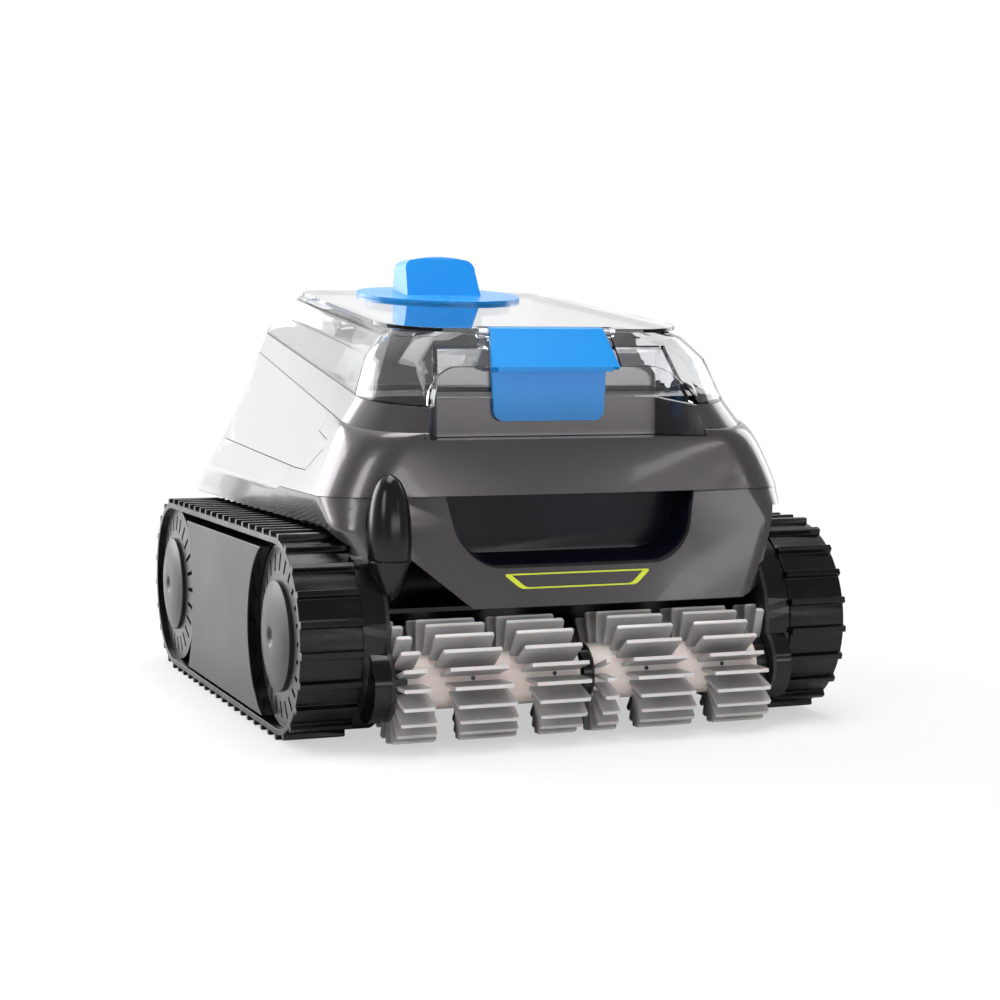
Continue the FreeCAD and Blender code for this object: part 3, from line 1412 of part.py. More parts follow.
def pod(label, front_half):
    """One half of the pointed housing beside the apron, split across the machine's width."""
    clear = size("frame_radius") + size("seam_gap")
    frame_curve = cylinder("x", -300, size("seam_gap") - size("hull_half"),
                           (size("front_axle"), size("axle_height")), clear)
    moulded(biggest(spindle(0, -1 if front_half else 1).cut(frame_curve)), label)


def grip_liner(label):
    """Dark cup behind the grip pocket of the apron."""
    wall = size("duct_wall")
    gap = size("seam_gap")
    skin = size("skin")
    inside = skin_loft(("apron", "skirt", "sill"), skin + size("shaft_gap"), 0, 0)
    cup = grip_space(wall, wall).common(inside).cut(grip_space(0, 0))
    cup = cup.common(cuboid((-300, 300), (-300, 0), (0, size("seam_height") - gap)))
    moulded(biggest(cup), label)


def power_button(label):
    """Round push button in the tail, with a collar that keeps it in its hole."""
    radius = size("button_radius")
    spot = (0, size("button_z"))
    face = size("skirt_rear_y") - size("button_sink")
    stem = cylinder("y", face - size("button_length"), face, spot, radius)
    collar = cylinder("y", face - size("button_length"), face - size("button_length") + 2, spot, radius + 2)
    moulded(stem.fuse(collar), label)


# ---------------------------------------------------------------- the machine

for side, sign in SIDES.items():
    for end, axle in AXLES.items():
        wheel(f"wheel_{end}_{side}", sign, axle)
        hub_cap(f"hub_cap_{end}_{side}", sign, axle)
        mesh = f"asin({BRUSH_DROP} / {CENTRES})" if end == "front" else "0 deg"
        gear(f"wheel_gear_{end}_{side}", sign, axle, "axle_height", "wheel_teeth", "hub_radius", f"90 deg + {mesh}")
    gear(f"brush_gear_{side}", sign, BRUSH_Y, BRUSH_Z, "brush_teeth", "brush_hub",
         f"asin({BRUSH_DROP} / {CENTRES}) + 180 deg / brush_teeth - 90 deg")
    drive_pinion(f"drive_pinion_{side}", sign)
    belt(f"track_belt_{side}", sign)
    track_frame(f"track_frame_{side}", sign)
    gear_cover(f"gear_cover_{side}", sign)
    side_cover(f"side_cover_{side}", sign)
    drive_motor(f"drive_motor_{side}", sign)
wheel_axles("wheel_axles")
brush_roller("brush_roller_left", -1, -size("left_gap"))
brush_roller("brush_roller_right", 1, size("right_gap"))
brush_middle("brush_middle_disc")
keep(rod("x", "-frame_outer", "frame_outer", (BRUSH_Y, BRUSH_Z), "brush_axle"), "brush_axle")
lower_hull("lower_hull")
intake_duct("intake_duct")
motor_block("motor_block")
motor_cover("motor_block_cover")
motor_cradle("motor_cradle")
pump_motor("pump_motor")
battery("battery_pack")
control_board("control_board")
pump_column("pump_column")
propeller("propeller")
lower_shell("lower_shell")
grip_liner("grip_liner")
front_shell("front_shell")
rear_shell("rear_shell")
rim_frame("rim_frame")
lid_shell("lid")
lid_top("lid_top_panel")
outlet("outlet")
latch_plate("latch_plate")
latch_flap("latch_flap")
keep(rod("x", "-seat_middle - seat_half", "seat_middle + seat_half", ("latch_y", "latch_z"), "pin_radius"), "latch_pin")
keep(rod("x", "-knuckle_spread - knuckle_length", "knuckle_spread + knuckle_length", ("hinge_y", "hinge_z"),
         "pin_radius"), "hinge_pin")
filter_canister("filter_canister")
filter_mesh("filter_mesh")
inlet_flap("inlet_flap")
pod("pod_front", True)
pod("pod_rear", False)
power_button("power_button")

document.recompute()
for item in document.Objects:
    if "Invalid" in item.State or "Error" in item.State:
        raise ValueError(f"{item.Name} did not compute")
for subpart in SUBPARTS:
    if subpart.Shape.isNull() or not subpart.Shape.isValid() or not subpart.Shape.Solids:
        raise ValueError(f"{subpart.Label} is not a sound solid")

os.makedirs("parts", exist_ok=True)
for subpart in SUBPARTS:
    subpart.Shape.exportStep(f"parts/{subpart.Label}.step")
    print(subpart.Label, len(subpart.Shape.Solids), round(subpart.Shape.Volume / 1000, 2), "cm3")
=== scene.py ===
import json
import math

import bmesh
import bpy
from mathutils import Matrix, Vector
from mathutils.bvhtree import BVHTree


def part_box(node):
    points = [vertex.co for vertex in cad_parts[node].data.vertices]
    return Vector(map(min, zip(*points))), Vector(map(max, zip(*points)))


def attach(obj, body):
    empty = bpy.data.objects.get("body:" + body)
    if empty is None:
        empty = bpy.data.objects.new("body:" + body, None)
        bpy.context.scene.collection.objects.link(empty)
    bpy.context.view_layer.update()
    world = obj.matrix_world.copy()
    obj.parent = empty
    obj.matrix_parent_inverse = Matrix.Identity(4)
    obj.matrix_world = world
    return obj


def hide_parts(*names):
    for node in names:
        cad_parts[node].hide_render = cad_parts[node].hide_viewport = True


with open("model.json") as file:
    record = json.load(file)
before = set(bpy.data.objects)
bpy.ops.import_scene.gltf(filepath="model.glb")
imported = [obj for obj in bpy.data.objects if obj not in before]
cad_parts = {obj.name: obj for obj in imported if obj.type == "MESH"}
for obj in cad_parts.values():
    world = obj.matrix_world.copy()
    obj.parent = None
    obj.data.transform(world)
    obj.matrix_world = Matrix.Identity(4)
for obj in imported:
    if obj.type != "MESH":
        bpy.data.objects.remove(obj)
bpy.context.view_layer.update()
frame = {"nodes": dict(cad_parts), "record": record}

# A tracked pool cleaning robot: moulded grey shells over a black hull, clear lid, blue latch and outlet,
# paddle brushes in front. Metres, +Z up, brushes at -Y. Places are read from the solid model's nodes, but for
# the printed label and the flat black discs of painted shade for the small holes in the brush cores, which are
# set out below.

MM = 0.001
SIDES = ("left", "right")
ENDS = ("front", "rear")

# Brushes: the axis runs along X through the middle disc.
DISC_LOW, DISC_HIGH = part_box("brush_middle_disc")
BRUSH = (DISC_LOW + DISC_HIGH) / 2
ROLLER_LOW, ROLLER_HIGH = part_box("brush_roller_left")
BLADE_TIP = (ROLLER_HIGH.z - ROLLER_LOW.z) / 2
BLADE_EDGE = 1.0 * MM
BLADE_FOOT = 18.6 * MM
CORE_RING = 119 * MM
CORE_RADIUS = 18.05 * MM
# Painted shade of the cores' holes: flat black discs of this radius and thickness, at these places.
HOLE_RADIUS = 1.4 * MM
SHADE_DISC_DEPTH = 0.3 * MM
HOLE_TURNS = (9.0, 189.0)
HOLE_PLACES = {"left": (-120.0, -76.4, -22.3), "right": (40.5, 93.9)}

# Pod: half outline from top to bottom, as shares of its height and of its radius, with a groove round it.
POD_LOW, POD_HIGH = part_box("pod_front")
POD_TALL = POD_HIGH.z - POD_LOW.z
GROOVE = 0.675
# Height of the pod's groove, where its shade is painted as a dark line.
POD_GROOVE_SHADE_Z = POD_HIGH.z - GROOVE * POD_TALL
POD_OUTLINE = ((0.0, 0.0), (0.012, 0.2), (0.04, 0.42), (0.09, 0.62), (0.17, 0.79), (0.28, 0.91), (0.42, 0.98),
               (0.55, 1.0), (GROOVE - 0.01, 0.95), (GROOVE - 0.005, 0.945), (GROOVE - 0.004, 0.9),
               (GROOVE + 0.004, 0.9), (GROOVE + 0.005, 0.935), (GROOVE + 0.01, 0.93), (0.78, 0.82),
               (0.87, 0.64), (0.95, 0.4), (0.99, 0.18), (1.0, 0.0))

# Bare label under the grip pocket: corners in the front view, from the upper left one onwards.
LABEL_CORNERS = ((-51.5, 104.4), (49.4, 104.4), (38.3, 95.0), (-40.7, 95.0))
LABEL_ROUNDING = 2.6 * MM
LABEL_LINE = 0.9 * MM
LABEL_END_LINE = 3.2 * MM
LABEL_MIDDLE = 30 * MM
LONG_EDGE = 40 * MM
PRINT_LIFT = 0.12 * MM
IN_FRONT = -0.3

# Camera
EYE = (-0.4987, -1.3813, 0.2401)
YAW = math.radians(20.63)
PITCH = math.radians(-4.04)
LENS = 73.39
SENSOR = 36.0


# ---------------------------------------------------------------- colours and shader parts

def tone(red, green, blue):
    """A display colour, 0 to 255, as the linear colour that a shader takes."""
    def linear(value):
        share = value / 255
        return share / 12.92 if share <= 0.04045 else ((share + 0.055) / 1.055) ** 2.4
    return (linear(red), linear(green), linear(blue), 1.0)


def shared_group(name, outputs, inputs=()):
    """An empty shader node group with float inputs and float outputs."""
    group = bpy.data.node_groups.new(name, "ShaderNodeTree")
    for socket, default in inputs:
        entry = group.interface.new_socket(socket, in_out="INPUT", socket_type="NodeSocketFloat")
        entry.default_value = default
    for socket in outputs:
        group.interface.new_socket(socket, in_out="OUTPUT", socket_type="NodeSocketFloat")
    return group, group.nodes.new("NodeGroupInput"), group.nodes.new("NodeGroupOutput")


def make_mottle():
    """Slow unevenness and fine grain of a moulded surface, both around one half."""
    group, entry, exit_node = shared_group("mottle", outputs=("slow", "fine"),
                                           inputs=(("slow_scale", 9.0), ("fine_scale", 900.0)))
    place = group.nodes.new("ShaderNodeTexCoord")
    for output, socket, detail in (("slow", "slow_scale", 3.0), ("fine", "fine_scale", 2.0)):
        noise = group.nodes.new("ShaderNodeTexNoise")
        noise.inputs["Detail"].default_value = detail
        group.links.new(place.outputs["Object"], noise.inputs["Vector"])
        group.links.new(entry.outputs[socket], noise.inputs["Scale"])
        group.links.new(noise.outputs["Fac"], exit_node.inputs[output])
    return group


MOTTLE = make_mottle()


class Finish:
    """A material under construction: its nodes, its links and its Principled shader."""

    def __init__(self, name, metallic=0.0, slow=9.0, fine=900.0):
        self.material = bpy.data.materials.new(name)
        self.material.use_nodes = True
        self.nodes = self.material.node_tree.nodes
        self.links = self.material.node_tree.links
        self.shader = self.nodes["Principled BSDF"]
        self.shader.inputs["Metallic"].default_value = metallic
        self.mottle = self.nodes.new("ShaderNodeGroup")
        self.mottle.node_tree = MOTTLE
        self.mottle.inputs["slow_scale"].default_value = slow
        self.mottle.inputs["fine_scale"].default_value = fine

    def constants(self, **values):
        """Values that are the same all over, set on the shader's own sockets."""
        for name, value in values.items():
            self.shader.inputs[name.replace("_", " ")].default_value = value
        return self

    def spread(self, source, low=0.0, high=1.0):
        """Map the slow or the fine unevenness onto a stretch from low to high."""
        node = self.nodes.new("ShaderNodeMapRange")
        node.inputs["From Min"].default_value = 0.3
        node.inputs["From Max"].default_value = 0.7
        node.inputs["To Min"].default_value = low
        node.inputs["To Max"].default_value = high
        self.links.new(self.mottle.outputs[source], node.inputs["Value"])
        return node.outputs["Result"]

    def feed(self, socket, value):
        """Give a socket a plain value, or link it to another node's output."""
        if isinstance(value, bpy.types.NodeSocket):
            self.links.new(value, socket)
        else:
            socket.default_value = value

    def blend(self, first, second, mask):
        """A colour between two colours, by a mask."""
        node = self.nodes.new("ShaderNodeMix")
        node.data_type = "RGBA"
        self.feed(node.inputs["A"], first)
        self.feed(node.inputs["B"], second)
        self.links.new(mask, node.inputs["Factor"])
        return node.outputs["Result"]

    def uneven(self, dark, light, source="slow"):
        """A colour that drifts between a dark and a light tone."""
        return self.blend(tone(*dark), tone(*light), self.spread(source))

    def paint(self, colour):
        self.links.new(colour, self.shader.inputs["Base Color"])
        return self

    def gloss(self, low, high):
        """Roughness that drifts between two values."""
        self.links.new(self.spread("slow", low, high), self.shader.inputs["Roughness"])
        return self

    def skin(self, strength, depth=0.2 * MM):
        """Fine moulding grain as a bump."""
        node = self.nodes.new("ShaderNodeBump")
        node.inputs["Strength"].default_value = strength
        node.inputs["Distance"].default_value = depth
        self.links.new(self.mottle.outputs["fine"], node.inputs["Height"])
        self.links.new(node.outputs["Normal"], self.shader.inputs["Normal"])
        return self

    def object_axis(self, axis):
        """The object coordinate along X, Y or Z."""
        place = self.nodes.new("ShaderNodeTexCoord")
        split = self.nodes.new("ShaderNodeSeparateXYZ")
        self.links.new(place.outputs["Object"], split.inputs["Vector"])
        return split.outputs[axis]

    def calculate(self, operation, first, second=0.0):
        node = self.nodes.new("ShaderNodeMath")
        node.operation = operation
        for socket, value in zip(node.inputs, (first, second)):
            self.feed(socket, value)
        return node.outputs["Value"]


def shell_paint():
    """Metallic grey lacquer under a clear coat."""
    finish = Finish("shell_paint", metallic=0.7, fine=2600.0).constants(Coat_Weight=0.5, Coat_Roughness=0.08)
    return finish.paint(finish.uneven((88, 85, 87), (98, 94, 97), "fine")).gloss(0.22, 0.29).skin(0.04)


def cover_plastic():
    """Dark satin plastic of the side covers and hub caps."""
    finish = Finish("cover_plastic", metallic=0.1, fine=1800.0).constants(Specular_IOR_Level=0.22)
    return finish.paint(finish.uneven((39, 39, 41), (46, 46, 48))).gloss(0.32, 0.42).skin(0.12)


def wheel_grey():
    """Dark grey of the slotted wheels."""
    finish = Finish("wheel_grey", metallic=0.2, fine=1800.0).constants(Specular_IOR_Level=0.35)
    return finish.paint(finish.uneven((44, 44, 46), (53, 53, 55))).gloss(0.24, 0.34).skin(0.06)


def gloss_black():
    """Polished black of the hull, the gear cases and the brush disc."""
    finish = Finish("gloss_black").constants(Specular_IOR_Level=0.35)
    return finish.paint(finish.uneven((9, 9, 10), (16, 16, 18))).gloss(0.1, 0.22).skin(0.04)


def canister_black():
    """Satin black of the filter canister under the lid."""
    finish = Finish("canister_black").constants(Specular_IOR_Level=0.3)
    return finish.paint(finish.uneven((15, 15, 18), (24, 24, 28))).gloss(0.3, 0.4).skin(0.06)


def pocket_black():
    """Blue-black gloss of the grip pocket."""
    finish = Finish("pocket_black").constants(Specular_IOR_Level=0.25)
    return finish.paint(finish.uneven((11, 12, 21), (18, 20, 33))).gloss(0.14, 0.24).skin(0.03)


def pod_black():
    """Gloss black, with painted shade: a near-black line in the groove round the pod's lower cap."""
    finish = Finish("pod_black").constants(Specular_IOR_Level=0.35)
    # Painted shade: a band 1 mm tall at the groove's height is near black.
    away = finish.calculate("ABSOLUTE", finish.calculate("SUBTRACT", finish.object_axis("Z"), POD_GROOVE_SHADE_Z))
    line = finish.calculate("LESS_THAN", away, 0.5 * MM)
    return finish.paint(finish.blend(tone(18, 18, 20), tone(2, 2, 2), line)).gloss(0.12, 0.2).skin(0.04)


def satin_black():
    """Plain black plastic of the inner housings."""
    finish = Finish("satin_black")
    return finish.paint(finish.uneven((23, 23, 26), (35, 35, 38))).gloss(0.34, 0.5).skin(0.15)


def track_rubber():
    """Black rubber with a coarser grain."""
    finish = Finish("track_rubber", slow=30.0, fine=700.0).constants(Specular_IOR_Level=0.3)
    return finish.paint(finish.uneven((7, 7, 8), (14, 14, 15))).gloss(0.2, 0.38).skin(0.2, 0.3 * MM)


def blue_plastic():
    """Bright blue plastic of the latch, the outlet and the button."""
    finish = Finish("blue_plastic")
    finish.constants(Subsurface_Weight=0.2, Subsurface_Scale=4 * MM, Coat_Weight=0.15, Coat_Roughness=0.12)
    return finish.paint(finish.uneven((8, 150, 238), (18, 158, 244))).gloss(0.26, 0.34).skin(0.04)


def clear_plastic():
    """Clear plastic of the lid."""
    finish = Finish("clear_plastic")
    return finish.constants(Base_Color=tone(250, 251, 252), Transmission_Weight=1.0, IOR=1.45).gloss(0.0, 0.02)


def blade_rubber():
    """Translucent grey rubber, paler along the paddles' outer edges."""
    finish = Finish("blade_rubber", slow=40.0).constants(Subsurface_Weight=0.35, Subsurface_Scale=3 * MM)
    ahead = finish.calculate("SUBTRACT", finish.object_axis("Y"), BRUSH.y)
    above = finish.calculate("SUBTRACT", finish.object_axis("Z"), BRUSH.z)
    squares = [finish.calculate("MULTIPLY", value, value) for value in (ahead, above)]
    distance = finish.calculate("SQRT", finish.calculate("ADD", *squares))
    edge = finish.calculate("GREATER_THAN", distance, BLADE_TIP - BLADE_EDGE)
    rubber = finish.uneven((160, 158, 159), (182, 180, 181))
    return finish.paint(finish.blend(rubber, tone(224, 222, 222), edge)).gloss(0.28, 0.42).skin(0.1)


def core_plastic():
    """Pale roller core, black on the bearing rings at its outer ends."""
    finish = Finish("core_plastic").constants(Subsurface_Weight=0.4, Subsurface_Scale=6 * MM)
    ring = finish.calculate("GREATER_THAN", finish.calculate("ABSOLUTE", finish.object_axis("X")), CORE_RING)
    pale = finish.uneven((236, 220, 214), (245, 234, 229))
    return finish.paint(finish.blend(pale, tone(22, 22, 24), ring)).gloss(0.35, 0.45).skin(0.05)


def gear_plastic():
    """Off-white plastic of the moulded gears."""
    finish = Finish("gear_plastic")
    return finish.paint(finish.uneven((198, 195, 184), (212, 209, 200))).gloss(0.4, 0.5).skin(0.1)


def steel():
    """Bright steel of axles, pins and motor cans."""
    finish = Finish("steel", metallic=1.0, slow=60.0)
    return finish.paint(finish.uneven((168, 169, 172), (190, 191, 194))).gloss(0.2, 0.36).skin(0.05, 0.1 * MM)


def mesh_cloth():
    """Fine woven filter mesh, with its threads along the panels' own directions."""
    finish = Finish("mesh_cloth")
    waves = []
    for axis in ("X", "Y", "Z"):
        wave = finish.calculate("SINE", finish.calculate("MULTIPLY", finish.object_axis(axis), 2600.0))
        waves.append(finish.calculate("ABSOLUTE", wave))
    weave = finish.calculate("MULTIPLY", finish.calculate("ADD", waves[0], waves[1]), waves[2])
    return finish.paint(finish.blend(tone(34, 35, 38), tone(78, 80, 84), weave)).gloss(0.5, 0.7)


def board_green():
    """Solder mask of the control board."""
    finish = Finish("board_green")
    return finish.paint(finish.uneven((24, 80, 46), (40, 108, 62))).gloss(0.3, 0.4).skin(0.1, 0.1 * MM)


def battery_wrap():
    """Dark blue shrink wrap of the battery pack."""
    finish = Finish("battery_wrap")
    return finish.paint(finish.uneven((46, 60, 96), (60, 76, 116))).gloss(0.25, 0.38).skin(0.05)


def label_print():
    """Yellow-green printed line."""
    finish = Finish("label_print")
    return finish.paint(finish.uneven((217, 230, 54), (228, 239, 68))).gloss(0.35, 0.45)


FINISHES = {maker.__name__: maker().material for maker in (
    shell_paint, cover_plastic, wheel_grey, gloss_black, canister_black, pocket_black, pod_black, satin_black,
    track_rubber, blue_plastic, clear_plastic, blade_rubber, core_plastic, gear_plastic, steel, mesh_cloth,
    board_green, battery_wrap, label_print)}


# ---------------------------------------------------------------- pieces

def record_slot(node):
    """The material slot that the record gives a node."""
    return next(part["material_slot"] for part in frame["record"]["subparts"] if part["node"] == node)


def body_of(node):
    """The body that a node moves with."""
    return next(name for name, nodes in frame["record"]["behaviour"]["bodies"].items() if node in nodes)


def smooth_by_angle(mesh, degrees):
    """Shade all faces smooth, but for edges sharper than the angle."""
    for polygon in mesh.polygons:
        polygon.use_smooth = True
    mesh.set_sharp_from_angle(angle=math.radians(degrees))


def finished(shape, name, body, slot, *finishes, crease=None):
    """Turn a bmesh into a piece that rides on a body; edges sharper than crease degrees stay sharp."""
    mesh = bpy.data.meshes.new(name)
    shape.to_mesh(mesh)
    shape.free()
    if crease is not None:
        smooth_by_angle(mesh, crease)
    piece = bpy.data.objects.new(name, mesh)
    bpy.context.scene.collection.objects.link(piece)
    for finish in finishes:
        mesh.materials.append(FINISHES[finish])
    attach(piece, body)
    return piece


def merged_copy(node):
    """The node's surface as a bmesh with its loose triangles joined and its flat faces whole."""
    mesh = bmesh.new()
    mesh.from_mesh(frame["nodes"][node].data)
    bmesh.ops.remove_doubles(mesh, verts=mesh.verts, dist=2e-6)
    bmesh.ops.dissolve_limit(mesh, angle_limit=math.radians(0.3), verts=mesh.verts, edges=mesh.edges)
    return mesh


def dress(node, *finishes, bevel=0.4, degrees=32, choose=None):
    """Stand for a node with the same surface, its edges softened and its finish on."""
    shape = merged_copy(node)
    if choose:
        for face in shape.faces:
            face.material_index = choose(face)
    piece = finished(shape, node + "_dressed", body_of(node), record_slot(node), *finishes, crease=degrees)
    softened = piece.modifiers.new("softened", "BEVEL")
    softened.width = bevel * MM
    softened.segments = 2
    softened.limit_method = "ANGLE"
    softened.angle_limit = math.radians(degrees)
    softened.harden_normals = True
    softened.use_clamp_overlap = True
    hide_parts(node)


def coat(node, finish):
    """A new finish straight on a node's own object."""
    materials = frame["nodes"][node].data.materials
    materials.clear()
    materials.append(FINISHES[finish])


def dress_all():
    """Every node gets its finish: those that show are dressed, the inner ones keep their own object."""
    for node in ("lower_shell", "front_shell", "rear_shell", "rim_frame"):
        dress(node, "shell_paint", bevel=0.5)
    for node in ("latch_plate", "latch_flap", "outlet", "power_button"):
        dress(node, "blue_plastic", bevel=0.5)
    for node in ("lid", "lid_top_panel"):
        dress(node, "clear_plastic", bevel=0.3)
    dress("filter_canister", "canister_black", bevel=0.4)
    for node in ("lower_hull", "brush_middle_disc"):
        dress(node, "gloss_black", bevel=0.4)
    dress("grip_liner", "pocket_black", bevel=0.4)
    for side in SIDES:
        dress(f"track_belt_{side}", "track_rubber", bevel=0.5)
        dress(f"track_frame_{side}", "gloss_black", bevel=0.4)
        dress(f"side_cover_{side}", "cover_plastic", "gloss_black", bevel=0.6, choose=cover_faces)
        dress(f"brush_roller_{side}", "core_plastic", "blade_rubber", bevel=0.25, choose=blade_faces)
        coat(f"gear_cover_{side}", "satin_black")
        coat(f"brush_gear_{side}", "gear_plastic")
        coat(f"drive_pinion_{side}", "steel")
        coat(f"drive_motor_{side}", "steel")
        for end in ENDS:
            dress(f"wheel_{end}_{side}", "wheel_grey", bevel=0.3)
            dress(f"hub_cap_{end}_{side}", "cover_plastic", bevel=0.4, degrees=24)
            coat(f"wheel_gear_{end}_{side}", "gear_plastic")
    for node in ("intake_duct", "motor_block", "motor_block_cover", "motor_cradle", "pump_column", "propeller",
                 "inlet_flap"):
        coat(node, "satin_black")
    for node in ("wheel_axles", "brush_axle", "hinge_pin", "latch_pin", "pump_motor"):
        coat(node, "steel")
    coat("filter_mesh", "mesh_cloth")
    coat("battery_pack", "battery_wrap")
    coat("control_board", "board_green")


def cover_faces(face):
    """The side cover's outer face is satin; its walls towards the wheels are glossy black."""
    low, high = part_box("side_cover_right")
    return 0 if abs(abs(face.calc_center_median().x) - high.x) < 0.5 * MM else 1


def blade_faces(face):
    """Blades stand out of the roller's core."""
    reach = max(math.hypot(vertex.co.y - BRUSH.y, vertex.co.z - BRUSH.z) for vertex in face.verts)
    return 1 if reach > BLADE_FOOT else 0


def surface_of(node):
    """The node's surface as a tree that answers rays."""
    shape = merged_copy(node)
    tree = BVHTree.FromBMesh(shape)
    shape.free()
    return tree


def label_outline():
    """Printed ring of a bare label under the grip pocket: thin above and below, thick at its slanted ends."""
    shape = bmesh.new()
    corners = [shape.verts.new((x * MM, 0, z * MM)) for x, z in LABEL_CORNERS]
    shape.faces.new(corners)
    bmesh.ops.bevel(shape, geom=corners, offset=LABEL_ROUNDING, segments=4, profile=0.5, affect="VERTICES",
                    material=-1)
    bmesh.ops.inset_region(shape, faces=shape.faces[:], thickness=LABEL_LINE, use_boundary=True,
                           use_even_offset=True)
    inner = max(shape.faces, key=lambda face: len(face.verts))
    for vertex in inner.verts:
        if abs(vertex.co.x) > LABEL_MIDDLE:
            vertex.co.x -= math.copysign(LABEL_END_LINE, vertex.co.x)
    bmesh.ops.delete(shape, geom=[inner], context="FACES_ONLY")
    long_edges = [edge for edge in shape.edges if edge.calc_length() > LONG_EDGE]
    bmesh.ops.subdivide_edges(shape, edges=long_edges, cuts=12, use_grid_fill=True)
    skin = surface_of("lower_shell")
    for vertex in shape.verts:
        place, outwards = skin.ray_cast(Vector((vertex.co.x, IN_FRONT, vertex.co.z)), Vector((0, 1, 0)))[:2]
        vertex.co = place + outwards * PRINT_LIFT
    bmesh.ops.recalc_face_normals(shape, faces=shape.faces)
    if sum(face.normal.y for face in shape.faces) > 0:
        bmesh.ops.reverse_faces(shape, faces=shape.faces)
    finished(shape, "label_outline", "chassis", "shell_grey", "label_print")


def pod():
    """Bullet-shaped housing at the front corner, turned from its half outline."""
    radius = (POD_HIGH.x - POD_LOW.x) / 2
    axis = Vector(((POD_LOW.x + POD_HIGH.x) / 2, POD_HIGH.y, 0))
    shape = bmesh.new()
    spots = [shape.verts.new(axis + Vector((0, -radius * width, POD_HIGH.z - POD_TALL * drop)))
             for drop, width in POD_OUTLINE]
    half = [shape.edges.new(pair) for pair in zip(spots, spots[1:])]
    bmesh.ops.spin(shape, geom=spots + half, cent=axis, axis=(0, 0, 1), angle=2 * math.pi, steps=32,
                   use_merge=True)
    bmesh.ops.remove_doubles(shape, verts=shape.verts, dist=1e-5)
    bmesh.ops.recalc_face_normals(shape, faces=shape.faces)
    piece = finished(shape, "pod", "chassis", record_slot("pod_front"), "pod_black", crease=180)
    rounded = piece.modifiers.new("rounded", "SUBSURF")
    rounded.levels = 1
    rounded.render_levels = 1
    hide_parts("pod_front", "pod_rear")


def hole_shade_discs():
    """Painted shade of small round holes in the rollers' cores: flat black discs on the core, one in the middle
    of each gap between two rows of paddles.
    """
    for side, places in HOLE_PLACES.items():
        shape = bmesh.new()
        for x in places:
            for turn in HOLE_TURNS:
                aim = Matrix.Rotation(math.radians(90 - turn), 4, "X") @ Matrix.Translation((0, 0, CORE_RADIUS))
                seat = Matrix.Translation((x * MM, BRUSH.y, BRUSH.z)) @ aim
                # Each disc is painted shade standing for a hole's dark inside; the core itself is not cut.
                bmesh.ops.create_cone(shape, cap_ends=True, segments=20, radius1=HOLE_RADIUS,
                                      radius2=HOLE_RADIUS, depth=SHADE_DISC_DEPTH, matrix=seat)
        finished(shape, f"hole_shade_discs_{side}", f"brush_{side}", "black_plastic", "satin_black")


# ---------------------------------------------------------------- studio

def camera():
    """The eye in front on the left, a little above the lid, looking slightly down."""
    lens = bpy.data.cameras.new("camera")
    lens.sensor_width = SENSOR
    lens.lens = LENS
    eye = bpy.data.objects.new("camera", lens)
    bpy.context.scene.collection.objects.link(eye)
    forward = Vector((math.sin(YAW) * math.cos(PITCH), math.cos(YAW) * math.cos(PITCH), math.sin(PITCH)))
    eye.location = Vector(EYE)
    eye.rotation_euler = forward.to_track_quat("-Z", "Y").to_euler()
    bpy.context.scene.camera = eye


def softbox(name, place, aim, width, height, power):
    """A flat soft lamp, itself out of sight, turned towards a point."""
    lamp = bpy.data.lights.new(name, "AREA")
    lamp.shape = "RECTANGLE"
    lamp.size = width
    lamp.size_y = height
    lamp.energy = power
    box = bpy.data.objects.new(name, lamp)
    bpy.context.scene.collection.objects.link(box)
    box.visible_camera = False
    box.location = Vector(place)
    box.rotation_euler = (Vector(aim) - box.location).to_track_quat("-Z", "Y").to_euler()


def calculated(tree, operation, first, second):
    """The result of a calculation on two outputs."""
    node = tree.nodes.new("ShaderNodeMath")
    node.operation = operation
    tree.links.new(first, node.inputs[0])
    tree.links.new(second, node.inputs[1])
    return node.outputs["Value"]


def eased(tree, source, start, end, low=0.0, high=1.0):
    """A value that goes smoothly from low to high as the source goes from start to end."""
    node = tree.nodes.new("ShaderNodeMapRange")
    node.interpolation_type = "SMOOTHSTEP"
    for socket, value in (("From Min", start), ("From Max", end), ("To Min", low), ("To Max", high)):
        node.inputs[socket].default_value = value
    tree.links.new(source, node.inputs["Value"])
    return node.outputs["Result"]


def mixed(tree, share, first, second, output):
    """Two shaders mixed by a share and sent to an output."""
    node = tree.nodes.new("ShaderNodeMixShader")
    tree.links.new(share, node.inputs["Fac"])
    tree.links.new(first, node.inputs[1])
    tree.links.new(second, node.inputs[2])
    tree.links.new(node.outputs["Shader"], output)


def seen_or_through_glass(tree, path):
    """One for rays from the eye, also through glass, and zero for all other rays."""
    return calculated(tree, "MAXIMUM", path.outputs["Is Camera Ray"], path.outputs["Is Transmission Ray"])


def sky():
    """Soft even light from a plain room; the eye, glass and polished faces see its back wall as white."""
    world = bpy.data.worlds.new("studio")
    bpy.context.scene.world = world
    world.use_nodes = True
    tree = world.node_tree
    soft = tree.nodes["Background"]
    white = tree.nodes.new("ShaderNodeBackground")
    for room, strength in ((soft, 0.3), (white, 1.0)):
        room.inputs["Color"].default_value = (1.0, 1.0, 1.0, 1.0)
        room.inputs["Strength"].default_value = strength
    path = tree.nodes.new("ShaderNodeLightPath")
    direction = tree.nodes.new("ShaderNodeTexCoord")
    split = tree.nodes.new("ShaderNodeSeparateXYZ")
    tree.links.new(direction.outputs["Generated"], split.inputs["Vector"])
    wall = eased(tree, split.outputs["Y"], start=-0.1, end=0.45)
    mirrored = calculated(tree, "MULTIPLY", wall, path.outputs["Is Glossy Ray"])
    share = calculated(tree, "MAXIMUM", seen_or_through_glass(tree, path), mirrored)
    mixed(tree, share, soft.outputs["Background"], white.outputs["Background"],
          tree.nodes["World Output"].inputs["Surface"])


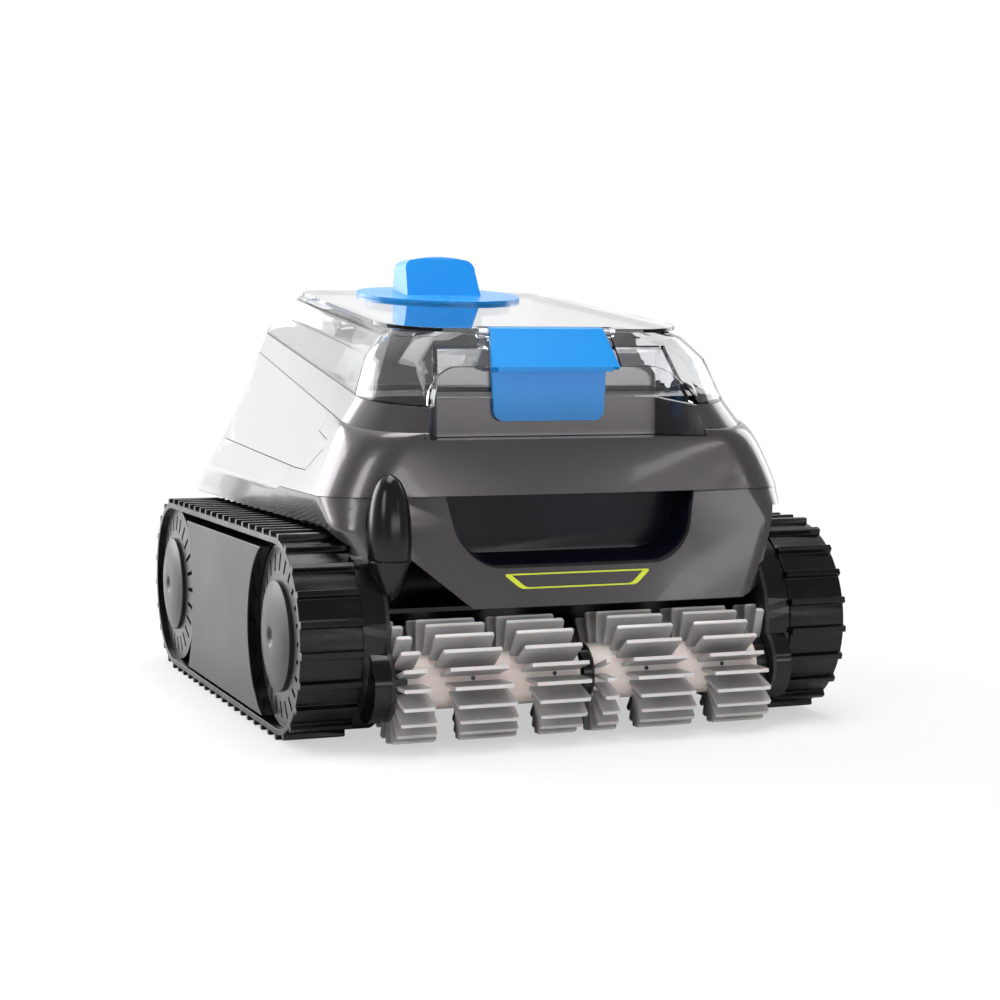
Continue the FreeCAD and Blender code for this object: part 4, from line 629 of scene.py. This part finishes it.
def floor_paint():
    """Pale floor that fades into the white room away from the object."""
    paint = bpy.data.materials.new("floor_paint")
    paint.use_nodes = True
    tree = paint.node_tree
    plain = tree.nodes["Principled BSDF"]
    plain.inputs["Base Color"].default_value = (0.9, 0.9, 0.9, 1.0)
    plain.inputs["Roughness"].default_value = 0.8
    place = tree.nodes.new("ShaderNodeTexCoord")
    distance = tree.nodes.new("ShaderNodeVectorMath")
    distance.operation = "LENGTH"
    tree.links.new(place.outputs["Object"], distance.inputs[0])
    fade = eased(tree, distance.outputs["Value"], start=0.3, end=0.9, low=0.55)
    path = tree.nodes.new("ShaderNodeLightPath")
    share = calculated(tree, "MULTIPLY", fade, seen_or_through_glass(tree, path))
    glow = tree.nodes.new("ShaderNodeEmission")
    glow.inputs["Strength"].default_value = 1.0
    mixed(tree, share, plain.outputs["BSDF"], glow.outputs["Emission"],
          tree.nodes["Material Output"].inputs["Surface"])
    return paint


def floor():
    """The ground under the cleaner."""
    shape = bmesh.new()
    bmesh.ops.create_grid(shape, x_segments=1, y_segments=1, size=6.0)
    mesh = bpy.data.meshes.new("floor")
    shape.to_mesh(mesh)
    shape.free()
    ground = bpy.data.objects.new("floor", mesh)
    bpy.context.scene.collection.objects.link(ground)
    mesh.materials.append(floor_paint())


def lamps():
    """Two soft walls behind, a broad light overhead, and weaker ones in front and on the right."""
    softbox("back_left_wall", (-1.35, 1.30, 0.75), (0, 0, 0.16), 1.7, 1.3, 42)
    softbox("overhead", (0.1, -0.1, 1.7), (0, 0, 0.2), 1.4, 0.9, 20)
    softbox("front_left", (-1.5, -1.3, 0.9), (0, 0, 0.12), 0.5, 0.9, 7)
    softbox("back_wall", (-0.35, 2.0, 0.5), (-0.1, 0, 0.18), 1.5, 0.9, 3.2)
    softbox("front_low", (0.5, -2.2, 0.3), (0, 0, 0.08), 1.8, 0.22, 5)
    softbox("front_right_spot", (0.88, -1.52, 0.6), (0.08, -0.19, 0.18), 0.2, 0.08, 0.22)
    softbox("right_wall", (1.7, 0.5, 0.7), (0, 0, 0.15), 0.9, 1.2, 9)


camera()
dress_all()
label_outline()
pod()
hole_shade_discs()
sky()
floor()
lamps()
bpy.context.scene.view_settings.view_transform = "Standard"
